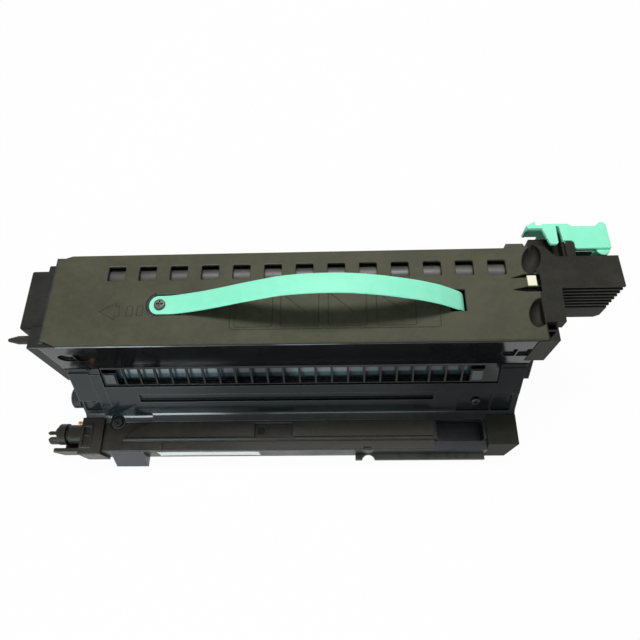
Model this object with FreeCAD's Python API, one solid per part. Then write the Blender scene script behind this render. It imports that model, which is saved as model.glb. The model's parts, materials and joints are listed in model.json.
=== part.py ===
"""Printer drum unit: photoconductor drum, charge and developer rollers, toner augers and their gears, in a
moulded frame with a vented top cover, a carrying strap, a ribbed grip box and a swinging lock lever.

Millimetres. +X runs along the drum to the grip end, +Y to the rear, +Z up. The origin lies on the flat base.
Each function returns one piece at its place in the assembly."""
import FreeCAD, Part
import math
import os

V = FreeCAD.Vector

# Frame of the unit
FRAME_LEFT = -158.5
FRAME_RIGHT = 147.3
SIDE_T = 3.0
COVER_Z = 106.0
COVER_T = 2.5
COVER_DEPTH = 63.0
COVER_LEFT = -156.3
REAR_T = 2.5
FIT = 0.3
RUN = 0.05

# Leaning front wall, measured at its front face
WALL_LEAN = 25.4
WALL_T = 3.5
WALL_REF_Y = -1.0
WALL_REF_Z = 60.0
WALL_TOP_Z = 63.6
WALL_FOOT_R = 6.5
BAND_T = 2.5
BAND_REAR = 4.4
BAND_BOTTOM_Z = 67.6
STEP_DEPTH = 1.9

# Black window grille, set into the leaning wall
GRILLE_X0 = -137.2
GRILLE_X1 = 131.0
GRILLE_BOTTOM_Z = 47.9
GRILLE_INSET = 0.9
GRILLE_T = 2.2

# Window row in the leaning wall
WINDOW_COUNT = 21
WINDOW_PITCH = 10.86
WINDOW_W = 9.5
WINDOW_FIRST_X = -120.9
END_WINDOW_W = 13.6
WINDOW_TOP_Z = 62.2
WINDOW_BOTTOM_Z = 49.2

# Vent slots in the cover
SLOT_COUNT = 13
SLOT_PITCH = 20.0
SLOT_W = 11.2
SLOT_D = 10.7
SLOT_FIRST_X = -121.85
SLOT_Y = COVER_DEPTH - 19.1
SLOT_R = 1.2

# Carrying strap
STRAP_Y = 26.6
STRAP_W = 13.0
STRAP_T = 1.6
STRAP_SCREW_X = -85.6
STRAP_END_R = STRAP_W / 2
STRAP_RISE = 24.4
STRAP_EXIT_X = 99.0
SCREW_HEAD_R = 3.5
SHANK_SHARE = 0.43

# Tray under the leaning wall
TRAY_Z = 21.0
TRAY_T = 2.5
TRAY_FRONT_Y = -44.5
TRAY_BACK_Y = -24.0
TRAY_STEP_Y = -37.5
TRAY_STEP = 2.2
LOW_Z = TRAY_Z - TRAY_STEP
LOW_X1 = -110.0
TRAY_LEFT = -145.0
TRAY_RIGHT = 90.6
PORT_X0 = -36.0
PORT_X1 = -9.0
SUMP_REAR_Y = 8.0
FOOT_END_Y = -20.5

# Screws through the wall and the tray
SCREW_R = 3.2
SCREW_SEAT_R = 5.4
TRAY_SCREW_X = -135.8
TRAY_SCREW_Y = -23.2
WALL_SCREW_X = 118.9
WALL_SCREW_Z = 31.2

# Drum
DRUM_Y = 20.0
DRUM_Z = 44.0
DRUM_R = 20.0
DRUM_WALL = 1.25
DRUM_X0 = -140.0
DRUM_X1 = 127.0
DRUM_SHAFT_R = 3.0
HUB_R = 5.8
DRIVE_HUB_R = 5.0

# Gears
SLEEVE_R = 7.5
SLEEVE_GAP = 0.5
PRESSURE = 20.0
DRUM_TEETH = 48
SLEEVE_TEETH = 22
WASTE_TEETH = 22
MODULE = 2 * (DRUM_R + SLEEVE_GAP + SLEEVE_R) / (DRUM_TEETH + SLEEVE_TEETH)
AUGER_TEETH = 18
AUGER_MODULE = 0.8
GEAR_X0 = -154.5
GEAR_W = 6.0
BACKLASH = 0.22

# Rollers
CHARGE_R = 6.0
CHARGE_SHAFT_R = 2.5
CHARGE_GAP = 0.05
SLEEVE_SHAFT_R = 2.5
ROLLER_X0 = -133.0
ROLLER_X1 = 119.0

# Augers
AUGER_Z = 11.2
FRONT_AUGER_Y = -30.2
FRONT_FLIGHT_R = 5.2
REAR_FLIGHT_R = 6.2
WASTE_FLIGHT_R = 5.3
AUGER_CORE = 4.0
JOURNAL_R = 2.0
FLIGHT_PITCH = 26.0
FLIGHT_T = 1.2
TROUGH_GAP = 0.5
WASTE_ANGLE = 20.0

# Vent tube under the slots
TUBE_Y = COVER_DEPTH - 13.5
TUBE_Z = 94.2
TUBE_R = 8.8
TUBE_WALL = 1.5
TUBE_END = 132.7
TUBE_STEM_R = 3.6

# Left end
CAP_LEFT = -160.9

# Grip box at the right-hand end
CAP_RIGHT = 161.0
GRIP_RIGHT = 199.5
GRIP_FRONT_Y = 34.4
GRIP_REAR_Y = COVER_DEPTH - 6.8
GRIP_LOWER = 12.9
FIN_COUNT = 8
FIN_PITCH = 4.1
FIN_T = 1.6
FIN_DEPTH = 3.2
BLOCK_LEFT = 142.7
BLOCK_RIGHT = 154.8
BLOCK_FRONT_Y = -0.3
BLOCK_BOTTOM_Z = 72.5

# Lock lever
LEVER_PIVOT = V(191.8, COVER_DEPTH - 1.5, 0)
LEVER_TOP_Z = 106.5
LEVER_T = 2.2
PIVOT_R = 2.5


def gear_radius(teeth, module):
    return module * teeth / 2


def polar(centre, distance, degrees):
    a = math.radians(degrees)
    return (centre[0] + distance * math.cos(a), centre[1] + distance * math.sin(a))


def wall_y(z):
    """Front face of the leaning wall at height z."""
    return WALL_REF_Y - (WALL_REF_Z - z) * math.tan(math.radians(WALL_LEAN))


def wall_back_y(z):
    return wall_y(z) + WALL_T / math.cos(math.radians(WALL_LEAN))


DRUM = (DRUM_Y, DRUM_Z)
DRUM_GEAR_R = gear_radius(DRUM_TEETH, MODULE)
SLEEVE_ANGLE = -141.8
SLEEVE = polar(DRUM, DRUM_GEAR_R + gear_radius(SLEEVE_TEETH, MODULE), SLEEVE_ANGLE)
WASTE = polar(DRUM, DRUM_GEAR_R + gear_radius(WASTE_TEETH, MODULE), WASTE_ANGLE)
CHARGE = polar(DRUM, DRUM_R + CHARGE_R + CHARGE_GAP, 85.0)
FRONT_AUGER = (FRONT_AUGER_Y, AUGER_Z)
REAR_AUGER = (FRONT_AUGER_Y + 2 * gear_radius(AUGER_TEETH, AUGER_MODULE), AUGER_Z)
TUBE = (TUBE_Y, TUBE_Z)
COVER_RIGHT = FRAME_RIGHT + FIT
COVER_UNDER = COVER_Z - COVER_T
REAR_WALL_Y = COVER_DEPTH - REAR_T
SCOOP_BOSS_Z = COVER_Z - 7.8
SCOOP_BOSS_X = 133.0
SCOOP_BOSS_Y = 7.0
INNER_LEFT = FRAME_LEFT + SIDE_T
INNER_RIGHT = FRAME_RIGHT - SIDE_T


def box(x0, x1, y0, y1, z0, z1):
    return Part.makeBox(x1 - x0, y1 - y0, z1 - z0, V(x0, y0, z0))


def rod(centre, r, x0, x1):
    """Cylinder along X round the axis at centre = (y, z)."""
    return Part.makeCylinder(r, x1 - x0, V(x0, centre[0], centre[1]), V(1, 0, 0))


def tube(centre, r, bore, x0, x1):
    return rod(centre, r, x0, x1).cut(rod(centre, bore, x0 - 1, x1 + 1))


def post(x, y, r, z0, z1):
    return Part.makeCylinder(r, z1 - z0, V(x, y, z0))


def prism_x(points, x0, x1):
    """Outline of (y, z) points carried along X."""
    corners = [V(x0, y, z) for y, z in points]
    return Part.Face(Part.makePolygon(corners + corners[:1])).extrude(V(x1 - x0, 0, 0))


def prism_z(points, z0, z1):
    """Outline of (x, y) points carried along Z."""
    corners = [V(x, y, z0) for x, y in points]
    return Part.Face(Part.makePolygon(corners + corners[:1])).extrude(V(0, 0, z1 - z0))


def prism_y(points, y0, y1):
    """Outline of (x, z) points carried along Y."""
    corners = [V(x, y0, z) for x, z in points]
    return Part.Face(Part.makePolygon(corners + corners[:1])).extrude(V(0, y1 - y0, 0))


def rounded_box(x0, x1, y0, y1, z0, z1, r):
    """Box with its four upright edges rounded."""
    solid = box(x0, x1, y0, y1, z0, z1)
    upright = [e for e in solid.Edges if abs(e.tangentAt(e.FirstParameter).z) > 0.9]
    return solid.makeFillet(r, upright)


def join(parts):
    whole = parts[0].multiFuse(parts[1:]) if len(parts) > 1 else parts[0]
    return whole.removeSplitter()


def cut(solid, tools):
    return solid.cut(tools)


def fillet_at(solid, r, wanted):
    """Round the edges whose middle passes the test."""
    edges = [e for e in solid.Edges if wanted(e)]
    return solid.makeFillet(r, edges)


def along_x(edge):
    return abs(edge.tangentAt(edge.FirstParameter).x) > 0.99


def on_wall(x0, x1, z_low, z_high, depth, proud=1.0):
    """Block square to the leaning wall, from proud of its face (behind it if negative) to depth behind it."""
    lean = math.radians(WALL_LEAN)
    down = (WALL_REF_Z - z_high) / math.cos(lean)
    length = (z_high - z_low) / math.cos(lean)
    block = Part.makeBox(x1 - x0, proud + depth, length, V(x0, -proud, -down - length))
    block.rotate(V(0, 0, 0), V(1, 0, 0), WALL_LEAN * -1)
    block.translate(V(0, WALL_REF_Y, WALL_REF_Z))
    return block


def wall_cylinder(x, z, r, proud, depth):
    """Cylinder square to the leaning wall at height z of its face."""
    lean = math.radians(WALL_LEAN)
    inward = V(0, math.cos(lean), -math.sin(lean))
    start = V(x, wall_y(z), z) - inward * proud
    return Part.makeCylinder(r, proud + depth, start, inward)


def involute(angle):
    return math.tan(angle) - angle


def gear(centre, teeth, module, phase, x0, x1):
    """Spur gear along X with a tooth centred at phase degrees, flanks taken from the involute."""
    pitch_r = gear_radius(teeth, module)
    root_r = pitch_r - 1.2 * module
    tip_r = pitch_r + 0.85 * module
    pressure = math.radians(PRESSURE)
    base_r = pitch_r * math.cos(pressure)
    half = (math.pi * module / 2 - BACKLASH) / (2 * pitch_r)

    def flank(r):
        local = math.acos(min(1.0, base_r / r))
        return half + involute(pressure) - involute(local)

    corners = []
    for n in range(teeth):
        middle = math.radians(phase) + 2 * math.pi * n / teeth
        for r, side in ((root_r, -1), (pitch_r, -1), (tip_r, -1), (tip_r, 1), (pitch_r, 1), (root_r, 1)):
            a = middle + side * flank(r)
            corners.append((centre[0] + r * math.cos(a), centre[1] + r * math.sin(a)))
    return prism_x(corners, x0, x1)


def mesh_phase(centre, teeth, phase, other, other_teeth):
    """Phase that puts a gap of the other gear on a tooth of this one along the line of centres."""
    line = math.degrees(math.atan2(other[1] - centre[1], other[0] - centre[0]))
    return line + 180 - (phase - line) * teeth / other_teeth + 180.0 / other_teeth


SLEEVE_LINE = SLEEVE_ANGLE
SLEEVE_PHASE = mesh_phase(DRUM, DRUM_TEETH, SLEEVE_LINE, SLEEVE, SLEEVE_TEETH)
WASTE_PHASE = mesh_phase(DRUM, DRUM_TEETH, SLEEVE_LINE, WASTE, WASTE_TEETH)
REAR_PHASE = mesh_phase(FRONT_AUGER, AUGER_TEETH, 0.0, REAR_AUGER, AUGER_TEETH)


def drum_tube():
    return tube(DRUM, DRUM_R, DRUM_R - DRUM_WALL, DRUM_X0, DRUM_X1)


def drum_gear_flange():
    """Gear, plug that fills the tube's end, and the driven coupling outside the side plate."""
    plug_r = DRUM_R - DRUM_WALL
    hub_end = FRAME_LEFT - 10.0
    body = join([
        gear(DRUM, DRUM_TEETH, MODULE, SLEEVE_LINE, GEAR_X0, GEAR_X0 + GEAR_W),
        rod(DRUM, DRUM_R - 1.5, GEAR_X0 + GEAR_W, DRUM_X0),
        rod(DRUM, plug_r, DRUM_X0, DRUM_X0 + 9.0),
        rod(DRUM, HUB_R, FRAME_LEFT, GEAR_X0),
        rod(DRUM, DRIVE_HUB_R, hub_end, FRAME_LEFT),
    ])
    socket = []
    for n in range(3):
        lobe = polar(DRUM, 2.2, 90 + 120 * n)
        socket.append(rod(lobe, 1.5, hub_end - 1, hub_end + 6))
    socket.append(rod(DRUM, 2.2, hub_end - 1, hub_end + 6))
    socket.append(rod(DRUM, DRUM_SHAFT_R, GEAR_X0 - 1, DRUM_X0 + 10))
    return cut(body, socket)


def drum_flange_right():
    body = join([
        rod(DRUM, DRUM_R - DRUM_WALL, DRUM_X1 - 9.0, DRUM_X1),
        rod(DRUM, DRUM_R - 1.0, DRUM_X1, DRUM_X1 + 5.0),
        rod(DRUM, 6.0, DRUM_X1 + 5.0, INNER_RIGHT - 1.0),
    ])
    return cut(body, [rod(DRUM, DRUM_SHAFT_R, DRUM_X1 - 10, INNER_RIGHT)])


def drum_shaft():
    return rod(DRUM, DRUM_SHAFT_R, GEAR_X0 - 1, FRAME_RIGHT + 5.0)


BUSH_R = 7.0


def drum_bush_left():
    ring = rod(DRUM, BUSH_R, FRAME_LEFT, INNER_LEFT)
    lip = rod(DRUM, BUSH_R + 1.8, INNER_LEFT, GEAR_X0 - FIT)
    return join([ring, lip]).cut(rod(DRUM, HUB_R + RUN, FRAME_LEFT - 3, INNER_LEFT + 3))


def drum_bush_right():
    ring = rod(DRUM, 5.5, INNER_RIGHT - 0.5, FRAME_RIGHT)
    lip = rod(DRUM, 7.5, FRAME_RIGHT, FRAME_RIGHT + 1.5)
    return join([ring, lip]).cut(rod(DRUM, DRUM_SHAFT_R + RUN, INNER_RIGHT - 3, FRAME_RIGHT + 3))


def charge_roller():
    return tube(CHARGE, CHARGE_R, CHARGE_SHAFT_R, ROLLER_X0, ROLLER_X1)


def charge_roller_shaft():
    return rod(CHARGE, CHARGE_SHAFT_R, INNER_LEFT + 1.0, INNER_RIGHT - 1.0)


CHARGE_BLOCK_W = 9.0
CHARGE_BLOCK_X = 7.0
CHARGE_BLOCK_TOP = 5.0
SPRING_L = 10.0


def charge_bearing(face, side):
    """Sliding block that holds one end of the charge roller, flat against the side plate."""
    x0, x1 = sorted((face, face + side * CHARGE_BLOCK_X))
    y, z = CHARGE
    half = CHARGE_BLOCK_W / 2
    block = box(x0, x1, y - half, y + half, z - 3.9, z + CHARGE_BLOCK_TOP)
    mouth = box(x0 - 1, x1 + 1, y - 1.6, y + 1.6, z - 6, z)
    return cut(block, [rod(CHARGE, CHARGE_SHAFT_R + RUN, x0 - 1, x1 + 1), mouth])


def coil(centre, radius, wire, height, turns):
    """Round-wire spring drawn with flat facets, its ends cut square to the wire."""
    steps = turns * 10
    around = 4
    rings = []
    for n in range(steps + 1):
        a = 2 * math.pi * turns * n / steps
        middle_z = wire + (height - 2 * wire) * n / steps
        ring = []
        for k in range(around):
            b = 2 * math.pi * k / around
            r = radius + wire * math.cos(b)
            ring.append(centre + V(r * math.cos(a), r * math.sin(a), middle_z + wire * math.sin(b)))
        rings.append(ring)
    faces = [flat_face(rings[0][::-1]), flat_face(rings[-1])]
    for low, high in zip(rings, rings[1:]):
        for k in range(around):
            m = (k + 1) % around
            faces.append(flat_face([low[k], low[m], high[m]]))
            faces.append(flat_face([low[k], high[m], high[k]]))
    return Part.makeSolid(Part.makeShell(faces))


def flat_face(corners):
    return Part.Face(Part.makePolygon(corners + corners[:1]))


def charge_spring(face, side):
    """Compression spring over the sliding block."""
    x = face + side * CHARGE_BLOCK_X / 2
    y, z = CHARGE
    return coil(V(x, y, z + CHARGE_BLOCK_TOP), 2.2, 0.4, SPRING_L, 6)


SLEEVE_END = 112.0


def developer_sleeve():
    return tube(SLEEVE, SLEEVE_R, SLEEVE_SHAFT_R, ROLLER_X0 + 2, SLEEVE_END)


def sleeve_shaft():
    return rod(SLEEVE, SLEEVE_SHAFT_R, GEAR_X0 + GEAR_W, FRAME_RIGHT - 1.0)


def sleeve_gear():
    body = join([
        gear(SLEEVE, SLEEVE_TEETH, MODULE, SLEEVE_PHASE, GEAR_X0, GEAR_X0 + GEAR_W),
        rod(SLEEVE, 4.0 - RUN, FRAME_LEFT + 0.8, GEAR_X0),
    ])
    return body


def doctor_blade():
    """Metering blade clamped behind the wall, with its edge just over the sleeve."""
    edge_z = SLEEVE[1] + SLEEVE_R + 0.6
    y0 = SLEEVE[0] - 1.6
    return box(ROLLER_X0, ROLLER_X1, y0, y0 + 1.5, edge_z, edge_z + 10.0)


def auger(centre, flight_r, x0, x1, flight_x0, flight_x1):
    """Moulded screw: a square core with half flights that slope to and fro, as a two-part mould leaves them."""
    half = AUGER_CORE / 2
    y, z = centre
    core = box(flight_x0, flight_x1, y - half, y + half, z - half, z + half)
    parts = [core, rod(centre, JOURNAL_R, x0, flight_x0), rod(centre, JOURNAL_R, flight_x1, x1)]
    slope = math.degrees(math.atan(FLIGHT_PITCH / 2 / (2 * flight_r)))
    count = int((flight_x1 - flight_x0) / FLIGHT_PITCH)
    start = (flight_x0 + flight_x1 - count * FLIGHT_PITCH) / 2
    for n in range(2 * count):
        side = 1 if n % 2 == 0 else -1
        middle = start + (n + 0.5) * FLIGHT_PITCH / 2
        plate = Part.makeBox(FLIGHT_T, 4 * flight_r, flight_r, V(-FLIGHT_T / 2, -2 * flight_r, 0))
        if side < 0:
            plate.translate(V(0, 0, -flight_r))
        plate.rotate(V(0, 0, 0), V(0, 0, 1), -side * slope)
        plate.translate(V(middle, y, z))
        reach = FLIGHT_PITCH / 2
        parts.append(plate.common(rod(centre, flight_r, middle - reach, middle + reach)))
    return join(parts)


FLIGHT_START = -107.0
FRONT_AUGER_END = 88.0
SUMP_LEFT = TRAY_LEFT
SUMP_RIGHT = 127.0


def mixing_auger_rear():
    return auger(REAR_AUGER, REAR_FLIGHT_R, GEAR_X0 + GEAR_W, SUMP_RIGHT, FLIGHT_START, SUMP_RIGHT - 4)


def rear_auger_gear():
    return join([
        gear(REAR_AUGER, AUGER_TEETH, AUGER_MODULE, REAR_PHASE, GEAR_X0, GEAR_X0 + GEAR_W),
        rod(REAR_AUGER, JOURNAL_R, INNER_LEFT + 0.3, GEAR_X0),
    ])


def mixing_auger_front():
    return auger(FRONT_AUGER, FRONT_FLIGHT_R, GEAR_X0 + GEAR_W, FRONT_AUGER_END + 2,
                 FLIGHT_START, FRONT_AUGER_END - 2)


def front_auger_gear():
    """Gear of the front auger with the neck that runs out through the end cap."""
    return join([
        gear(FRONT_AUGER, AUGER_TEETH, AUGER_MODULE, 0.0, GEAR_X0, GEAR_X0 + GEAR_W),
        rod(FRONT_AUGER, 4.0, FRAME_LEFT - 0.5, GEAR_X0),
    ])


COUPLING_R = 7.2
COUPLING_X0 = CAP_LEFT - 18.6
FLANGE_T = 5.5
GROOVE_W = 2.2
PRONG_L = 6.4
TIP_STEP = 0.9
TIP_TURN = 6.0


def sector(centre, r, start, end, x0, x1):
    """Wedge of a round bar between two angles, for prongs."""
    steps = 8
    points = [centre]
    for n in range(steps + 1):
        points.append(polar(centre, r, start + (end - start) * n / steps))
    return prism_x(points, x0, x1)


def auger_coupling():
    """Dog coupling outside the left end: barrel, groove, thick flange, a thin and two broad driving prongs."""
    flange_end = COUPLING_X0 + FLANGE_T
    groove_end = flange_end + GROOVE_W
    parts = [
        rod(FRONT_AUGER, COUPLING_R - 0.4, groove_end, CAP_LEFT - 0.5),
        rod(FRONT_AUGER, 4.0, CAP_LEFT - 0.5, FRAME_LEFT - 0.5),
        rod(FRONT_AUGER, 5.2, flange_end, groove_end),
        rod(FRONT_AUGER, COUPLING_R + 0.4, COUPLING_X0, flange_end),
    ]
    tip = COUPLING_X0 - PRONG_L
    ring = tube(FRONT_AUGER, COUPLING_R, COUPLING_R - 2.8, tip, COUPLING_X0)
    reach = COUPLING_R + 2
    for start, end in ((85.0, 107.0), (125.0, 200.0), (262.0, 330.0)):
        root = sector(FRONT_AUGER, reach, start, end, tip + TIP_STEP, COUPLING_X0)
        nose = sector(FRONT_AUGER, reach, start + TIP_TURN, end - TIP_TURN, tip, tip + TIP_STEP)
        parts += [ring.common(root), ring.common(nose)]
    return join(parts)


def waste_auger():
    return auger(WASTE, WASTE_FLIGHT_R, GEAR_X0 + GEAR_W, INNER_RIGHT + 1.0, -142.0, 138.0)


def waste_gear():
    return join([
        gear(WASTE, WASTE_TEETH, MODULE, WASTE_PHASE, GEAR_X0, GEAR_X0 + GEAR_W),
        rod(WASTE, JOURNAL_R, INNER_LEFT - 1.0, GEAR_X0),
    ])


TROUGH_R = WASTE_FLIGHT_R + TROUGH_GAP + 0.3
TROUGH_T = 1.2
TROUGH_TOP = 76.0


def waste_trough():
    """Gutter under the waste auger, open to the drum, hung from the rear cover by its flange."""
    y, z = WASTE
    start = math.radians(200)
    outer = TROUGH_R + TROUGH_T

    def at(r, a):
        return V(0, y + r * math.cos(a), z + r * math.sin(a))

    low = math.radians(280)
    inner_arc = Part.Arc(at(TROUGH_R, start), at(TROUGH_R, low), at(TROUGH_R, 2 * math.pi)).toShape()
    outer_arc = Part.Arc(at(outer, start), at(outer, low), at(outer, 2 * math.pi)).toShape()
    corners = [
        at(TROUGH_R, 0),
        V(0, y + TROUGH_R, TROUGH_TOP),
        V(0, REAR_WALL_Y, TROUGH_TOP),
        V(0, REAR_WALL_Y, TROUGH_TOP - TROUGH_T),
        V(0, y + outer, TROUGH_TOP - TROUGH_T),
        at(outer, 0),
    ]
    edges = [inner_arc]
    for a, b in zip(corners, corners[1:]):
        edges.append(Part.makeLine(a, b))
    edges.append(outer_arc)
    edges.append(Part.makeLine(at(outer, start), at(TROUGH_R, start)))
    face = Part.Face(Part.Wire(Part.__sortEdges__(edges)))
    trough = face.extrude(V(1, 0, 0) * (INNER_RIGHT - INNER_LEFT - 16))
    trough.translate(V(INNER_LEFT + 10, 0, 0))
    return cut(trough, blade_screw_holes())


BLADE_ANGLE = 55.0
BLADE_LEAN = 65.0
BLADE_L = 10.0
BLADE_T = 1.8
HOLDER_T = 1.2


def blade_strip(x0, x1, offset, thickness, start, length):
    """Flat strip laid along the cleaning blade's slope."""
    tip = polar(DRUM, DRUM_R + FIT, BLADE_ANGLE)
    strip = Part.makeBox(x1 - x0, thickness, length, V(x0, offset, start))
    strip.rotate(V(0, 0, 0), V(1, 0, 0), BLADE_LEAN - 90)
    strip.translate(V(0, tip[0], tip[1]))
    return strip


def cleaning_blade():
    return blade_strip(ROLLER_X0, ROLLER_X1, 0, BLADE_T, 0, BLADE_L)


BLADE_SCREW_X = (-110.0, 95.0)
BLADE_SCREW_Y = REAR_WALL_Y - 4.3
BLADE_SCREW_R = 2.6


def blade_screw_holes():
    return [post(x, BLADE_SCREW_Y, BLADE_SCREW_R * SHANK_SHARE, TROUGH_TOP - 4, TROUGH_TOP + 4) for x in BLADE_SCREW_X]


def blade_holder():
    """Bent steel angle: one leg backs the blade, the other is screwed to the trough's flange."""
    tip = polar(DRUM, DRUM_R + FIT, BLADE_ANGLE)
    slope = math.radians(BLADE_LEAN)
    start = 4.5
    reach = (TROUGH_TOP + HOLDER_T - tip[1]) / math.sin(slope) + 0.5
    leg = blade_strip(ROLLER_X0 - 6, ROLLER_X1 + 6, BLADE_T, HOLDER_T, start, reach - start)
    foot_y = tip[0] + BLADE_T / math.sin(slope) + (TROUGH_TOP - tip[1]) / math.tan(slope)
    foot = box(ROLLER_X0 - 6, ROLLER_X1 + 6, foot_y, REAR_WALL_Y - 1.0, TROUGH_TOP, TROUGH_TOP + HOLDER_T)
    return cut(join([leg, foot]), blade_screw_holes())


def blade_screws():
    """Two screws that fix the blade holder to the flange under it."""
    return Part.makeCompound([screw_down(x, BLADE_SCREW_Y, TROUGH_TOP + HOLDER_T, BLADE_SCREW_R, 4.0) for x in BLADE_SCREW_X])


def vent_tube():
    return tube(TUBE, TUBE_R, TUBE_R - TUBE_WALL, INNER_LEFT, TUBE_END)


def foot_curve(level):
    """Ends and middle of the round that turns the leaning wall into a flat at the given level."""
    lean = math.radians(WALL_LEAN)
    reach = WALL_FOOT_R * math.tan((math.pi / 2 - lean) / 2)
    corner_y = wall_y(level)
    on_slope = V(0, corner_y + reach * math.sin(lean), level + reach * math.cos(lean))
    on_flat = V(0, corner_y - reach, level)
    turn = math.radians(45 + (90 - WALL_LEAN) / 4)
    middle = V(0, on_flat.y + WALL_FOOT_R * math.cos(-turn), level + WALL_FOOT_R + WALL_FOOT_R * math.sin(-turn))
    return on_slope, middle, on_flat


def closed_face(points, arc):
    """Face in the YZ plane: straight lines through the points, closed by the arc that follows the last one."""
    edges = [Part.makeLine(a, b) for a, b in zip(points, points[1:])]
    edges.append(Part.Arc(*arc).toShape())
    if arc[2].distanceToPoint(points[0]) > 0.001:
        edges.append(Part.makeLine(arc[2], points[0]))
    return Part.Face(Part.Wire(Part.__sortEdges__(edges)))


def front_frame():
    """Leaning wall with its raised end panels, the long groove, and the foot curved into the tray."""
    under = TRAY_Z - TRAY_T
    rear = wall_back_y(TRAY_Z) - 1.0
    arc = foot_curve(TRAY_Z)
    profile = [
        (TRAY_BACK_Y, TRAY_Z),
        (TRAY_BACK_Y, under),
        (rear, under),
        (wall_back_y(TRAY_Z + 2.0), TRAY_Z + 2.0),
        (wall_back_y(WALL_TOP_Z), WALL_TOP_Z),
        (wall_y(WALL_TOP_Z), WALL_TOP_Z),
    ]
    wall = closed_face([V(0, y, z) for y, z in profile] + [arc[0]], arc).extrude(V(FRAME_RIGHT - FRAME_LEFT, 0, 0))
    wall.translate(V(FRAME_LEFT, 0, 0))
    ledge_z = SLEEVE[1] + SLEEVE_R + 3.0
    ledge = prism_x([
        (wall_back_y(ledge_z) - 0.5, ledge_z),
        (SLEEVE[0] - 1.6, ledge_z),
        (SLEEVE[0] - 1.6, ledge_z + 7.0),
        (wall_back_y(ledge_z + 7.0) - 0.5, ledge_z + 7.0),
    ], ROLLER_X0, ROLLER_X1)
    low_floor = box(TRAY_LEFT, LOW_X1, TRAY_BACK_Y, rear, LOW_Z - TRAY_T, LOW_Z)
    panels = [
        on_wall(FRAME_LEFT, -144.2, 36.2, 60.7, 0.5, 1.0),
        on_wall(-144.3, GRILLE_X0, 30.2, 59.1, 0.5, 0.5),
        on_wall(GRILLE_X1, FRAME_RIGHT, 38.6, 60.7, 0.5, 0.5),
    ]
    wall = join([wall, ledge, low_floor] + panels)
    low_arc = foot_curve(LOW_Z)
    ahead = -32.0
    low_air = closed_face([V(0, ahead, LOW_Z), V(0, ahead, 40.0), V(0, wall_y(40.0), 40.0), low_arc[0]], low_arc)
    low_air = low_air.extrude(V(LOW_X1 - TRAY_LEFT, 0, 0))
    low_air.translate(V(TRAY_LEFT, 0, 0))
    low_air = low_air.cut(on_wall(TRAY_LEFT - 1, LOW_X1 + 1, 28.0, 62.0, 0.5, 2.0))
    wall = cut(wall, [
        box(FRAME_LEFT - 1, TRAY_LEFT, -32.0, FOOT_END_Y, 15.0, 30.0),
        box(SUMP_RIGHT, FRAME_RIGHT + 1, -32.0, FOOT_END_Y, 15.0, 30.0),
        low_air,
        post(TRAY_SCREW_X, TRAY_SCREW_Y, SCREW_SEAT_R, LOW_Z - 1.2, LOW_Z + 6),
    ])
    lug = post(TRAY_SCREW_X, TRAY_SCREW_Y, SCREW_SEAT_R, LOW_Z - TRAY_T, LOW_Z - 1.2)
    holes = [
        post(TRAY_SCREW_X, TRAY_SCREW_Y, SCREW_R * SHANK_SHARE, 10, 30),
        wall_cylinder(WALL_SCREW_X, WALL_SCREW_Z, SCREW_R * SHANK_SHARE, 1, WALL_T + 1),
        on_wall(GRILLE_X0, GRILLE_X1, GRILLE_BOTTOM_Z, WALL_TOP_Z + 3.0, WALL_T + 3.0),
        on_wall(FRAME_LEFT + 2.0, -144.8, 26.5, 35.6, 1.4),
        on_wall(-151.3, -148.3, 33.0, 35.6, 2.6),
    ]
    return cut(join([wall, lug]), holes + screw_pockets() + [groove_cut()] + gear_room())


def screw_pockets():
    """Shallow pocket round the wall screw, and its neighbour at the right-hand end."""
    return [
        on_wall(106.0, 129.0, 23.4, 37.6, POCKET_DEPTH),
        on_wall(130.4, 143.0, 23.4, 37.2, POCKET_DEPTH + 0.4),
    ]


def grille_y(z):
    return wall_y(z) + GRILLE_INSET


def front_band():
    """Upright upper band over a stepped edge, and the window grille that fills the opening of the wall."""
    top = prism_x([
        (0.0, COVER_UNDER),
        (0.0, BAND_BOTTOM_Z),
        (STEP_DEPTH, BAND_BOTTOM_Z),
        (STEP_DEPTH, WALL_TOP_Z),
        (BAND_REAR, WALL_TOP_Z),
        (BAND_REAR, BAND_BOTTOM_Z + 2.6),
        (BAND_T, BAND_BOTTOM_Z + 4.5),
        (BAND_T, COVER_UNDER),
    ], FRAME_LEFT, FRAME_RIGHT)
    grille = prism_x([
        (grille_y(WALL_TOP_Z + 1.0), WALL_TOP_Z + 1.0),
        (grille_y(GRILLE_BOTTOM_Z), GRILLE_BOTTOM_Z),
        (grille_y(GRILLE_BOTTOM_Z) + GRILLE_T, GRILLE_BOTTOM_Z),
        (grille_y(WALL_TOP_Z + 1.0) + GRILLE_T, WALL_TOP_Z + 1.0),
    ], GRILLE_X0, GRILLE_X1)
    nub = box(-143.7, -140.9, -0.7, STEP_DEPTH, 65.4, BAND_BOTTOM_Z)
    body = join([top, grille, nub])
    corner = box(BLOCK_LEFT - FIT, FRAME_RIGHT + 1, -1.0, BAND_T, BLOCK_BOTTOM_Z - FIT, COVER_Z)
    return cut(body, window_cuts() + band_recesses() + [corner])


def end_windows():
    """Left edges of the wide windows at both ends of the row."""
    rib = WINDOW_PITCH - WINDOW_W
    return WINDOW_FIRST_X - rib - END_WINDOW_W, WINDOW_FIRST_X + WINDOW_COUNT * WINDOW_PITCH


END_PAD_W = 7.0
END_PAD_TOP_Z = 58.3
END_PAD_BOTTOM_Z = 50.7


def grille_pads():
    """Small grey plate in the outer lower corner of each end window."""
    left, right = end_windows()
    pads = []
    for x in (left + 0.9, right + END_WINDOW_W - END_PAD_W - 0.9):
        pads.append(on_wall(x, x + END_PAD_W, END_PAD_BOTTOM_Z, END_PAD_TOP_Z, GRILLE_INSET + 0.6, -0.2))
    return Part.makeCompound(pads)


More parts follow.
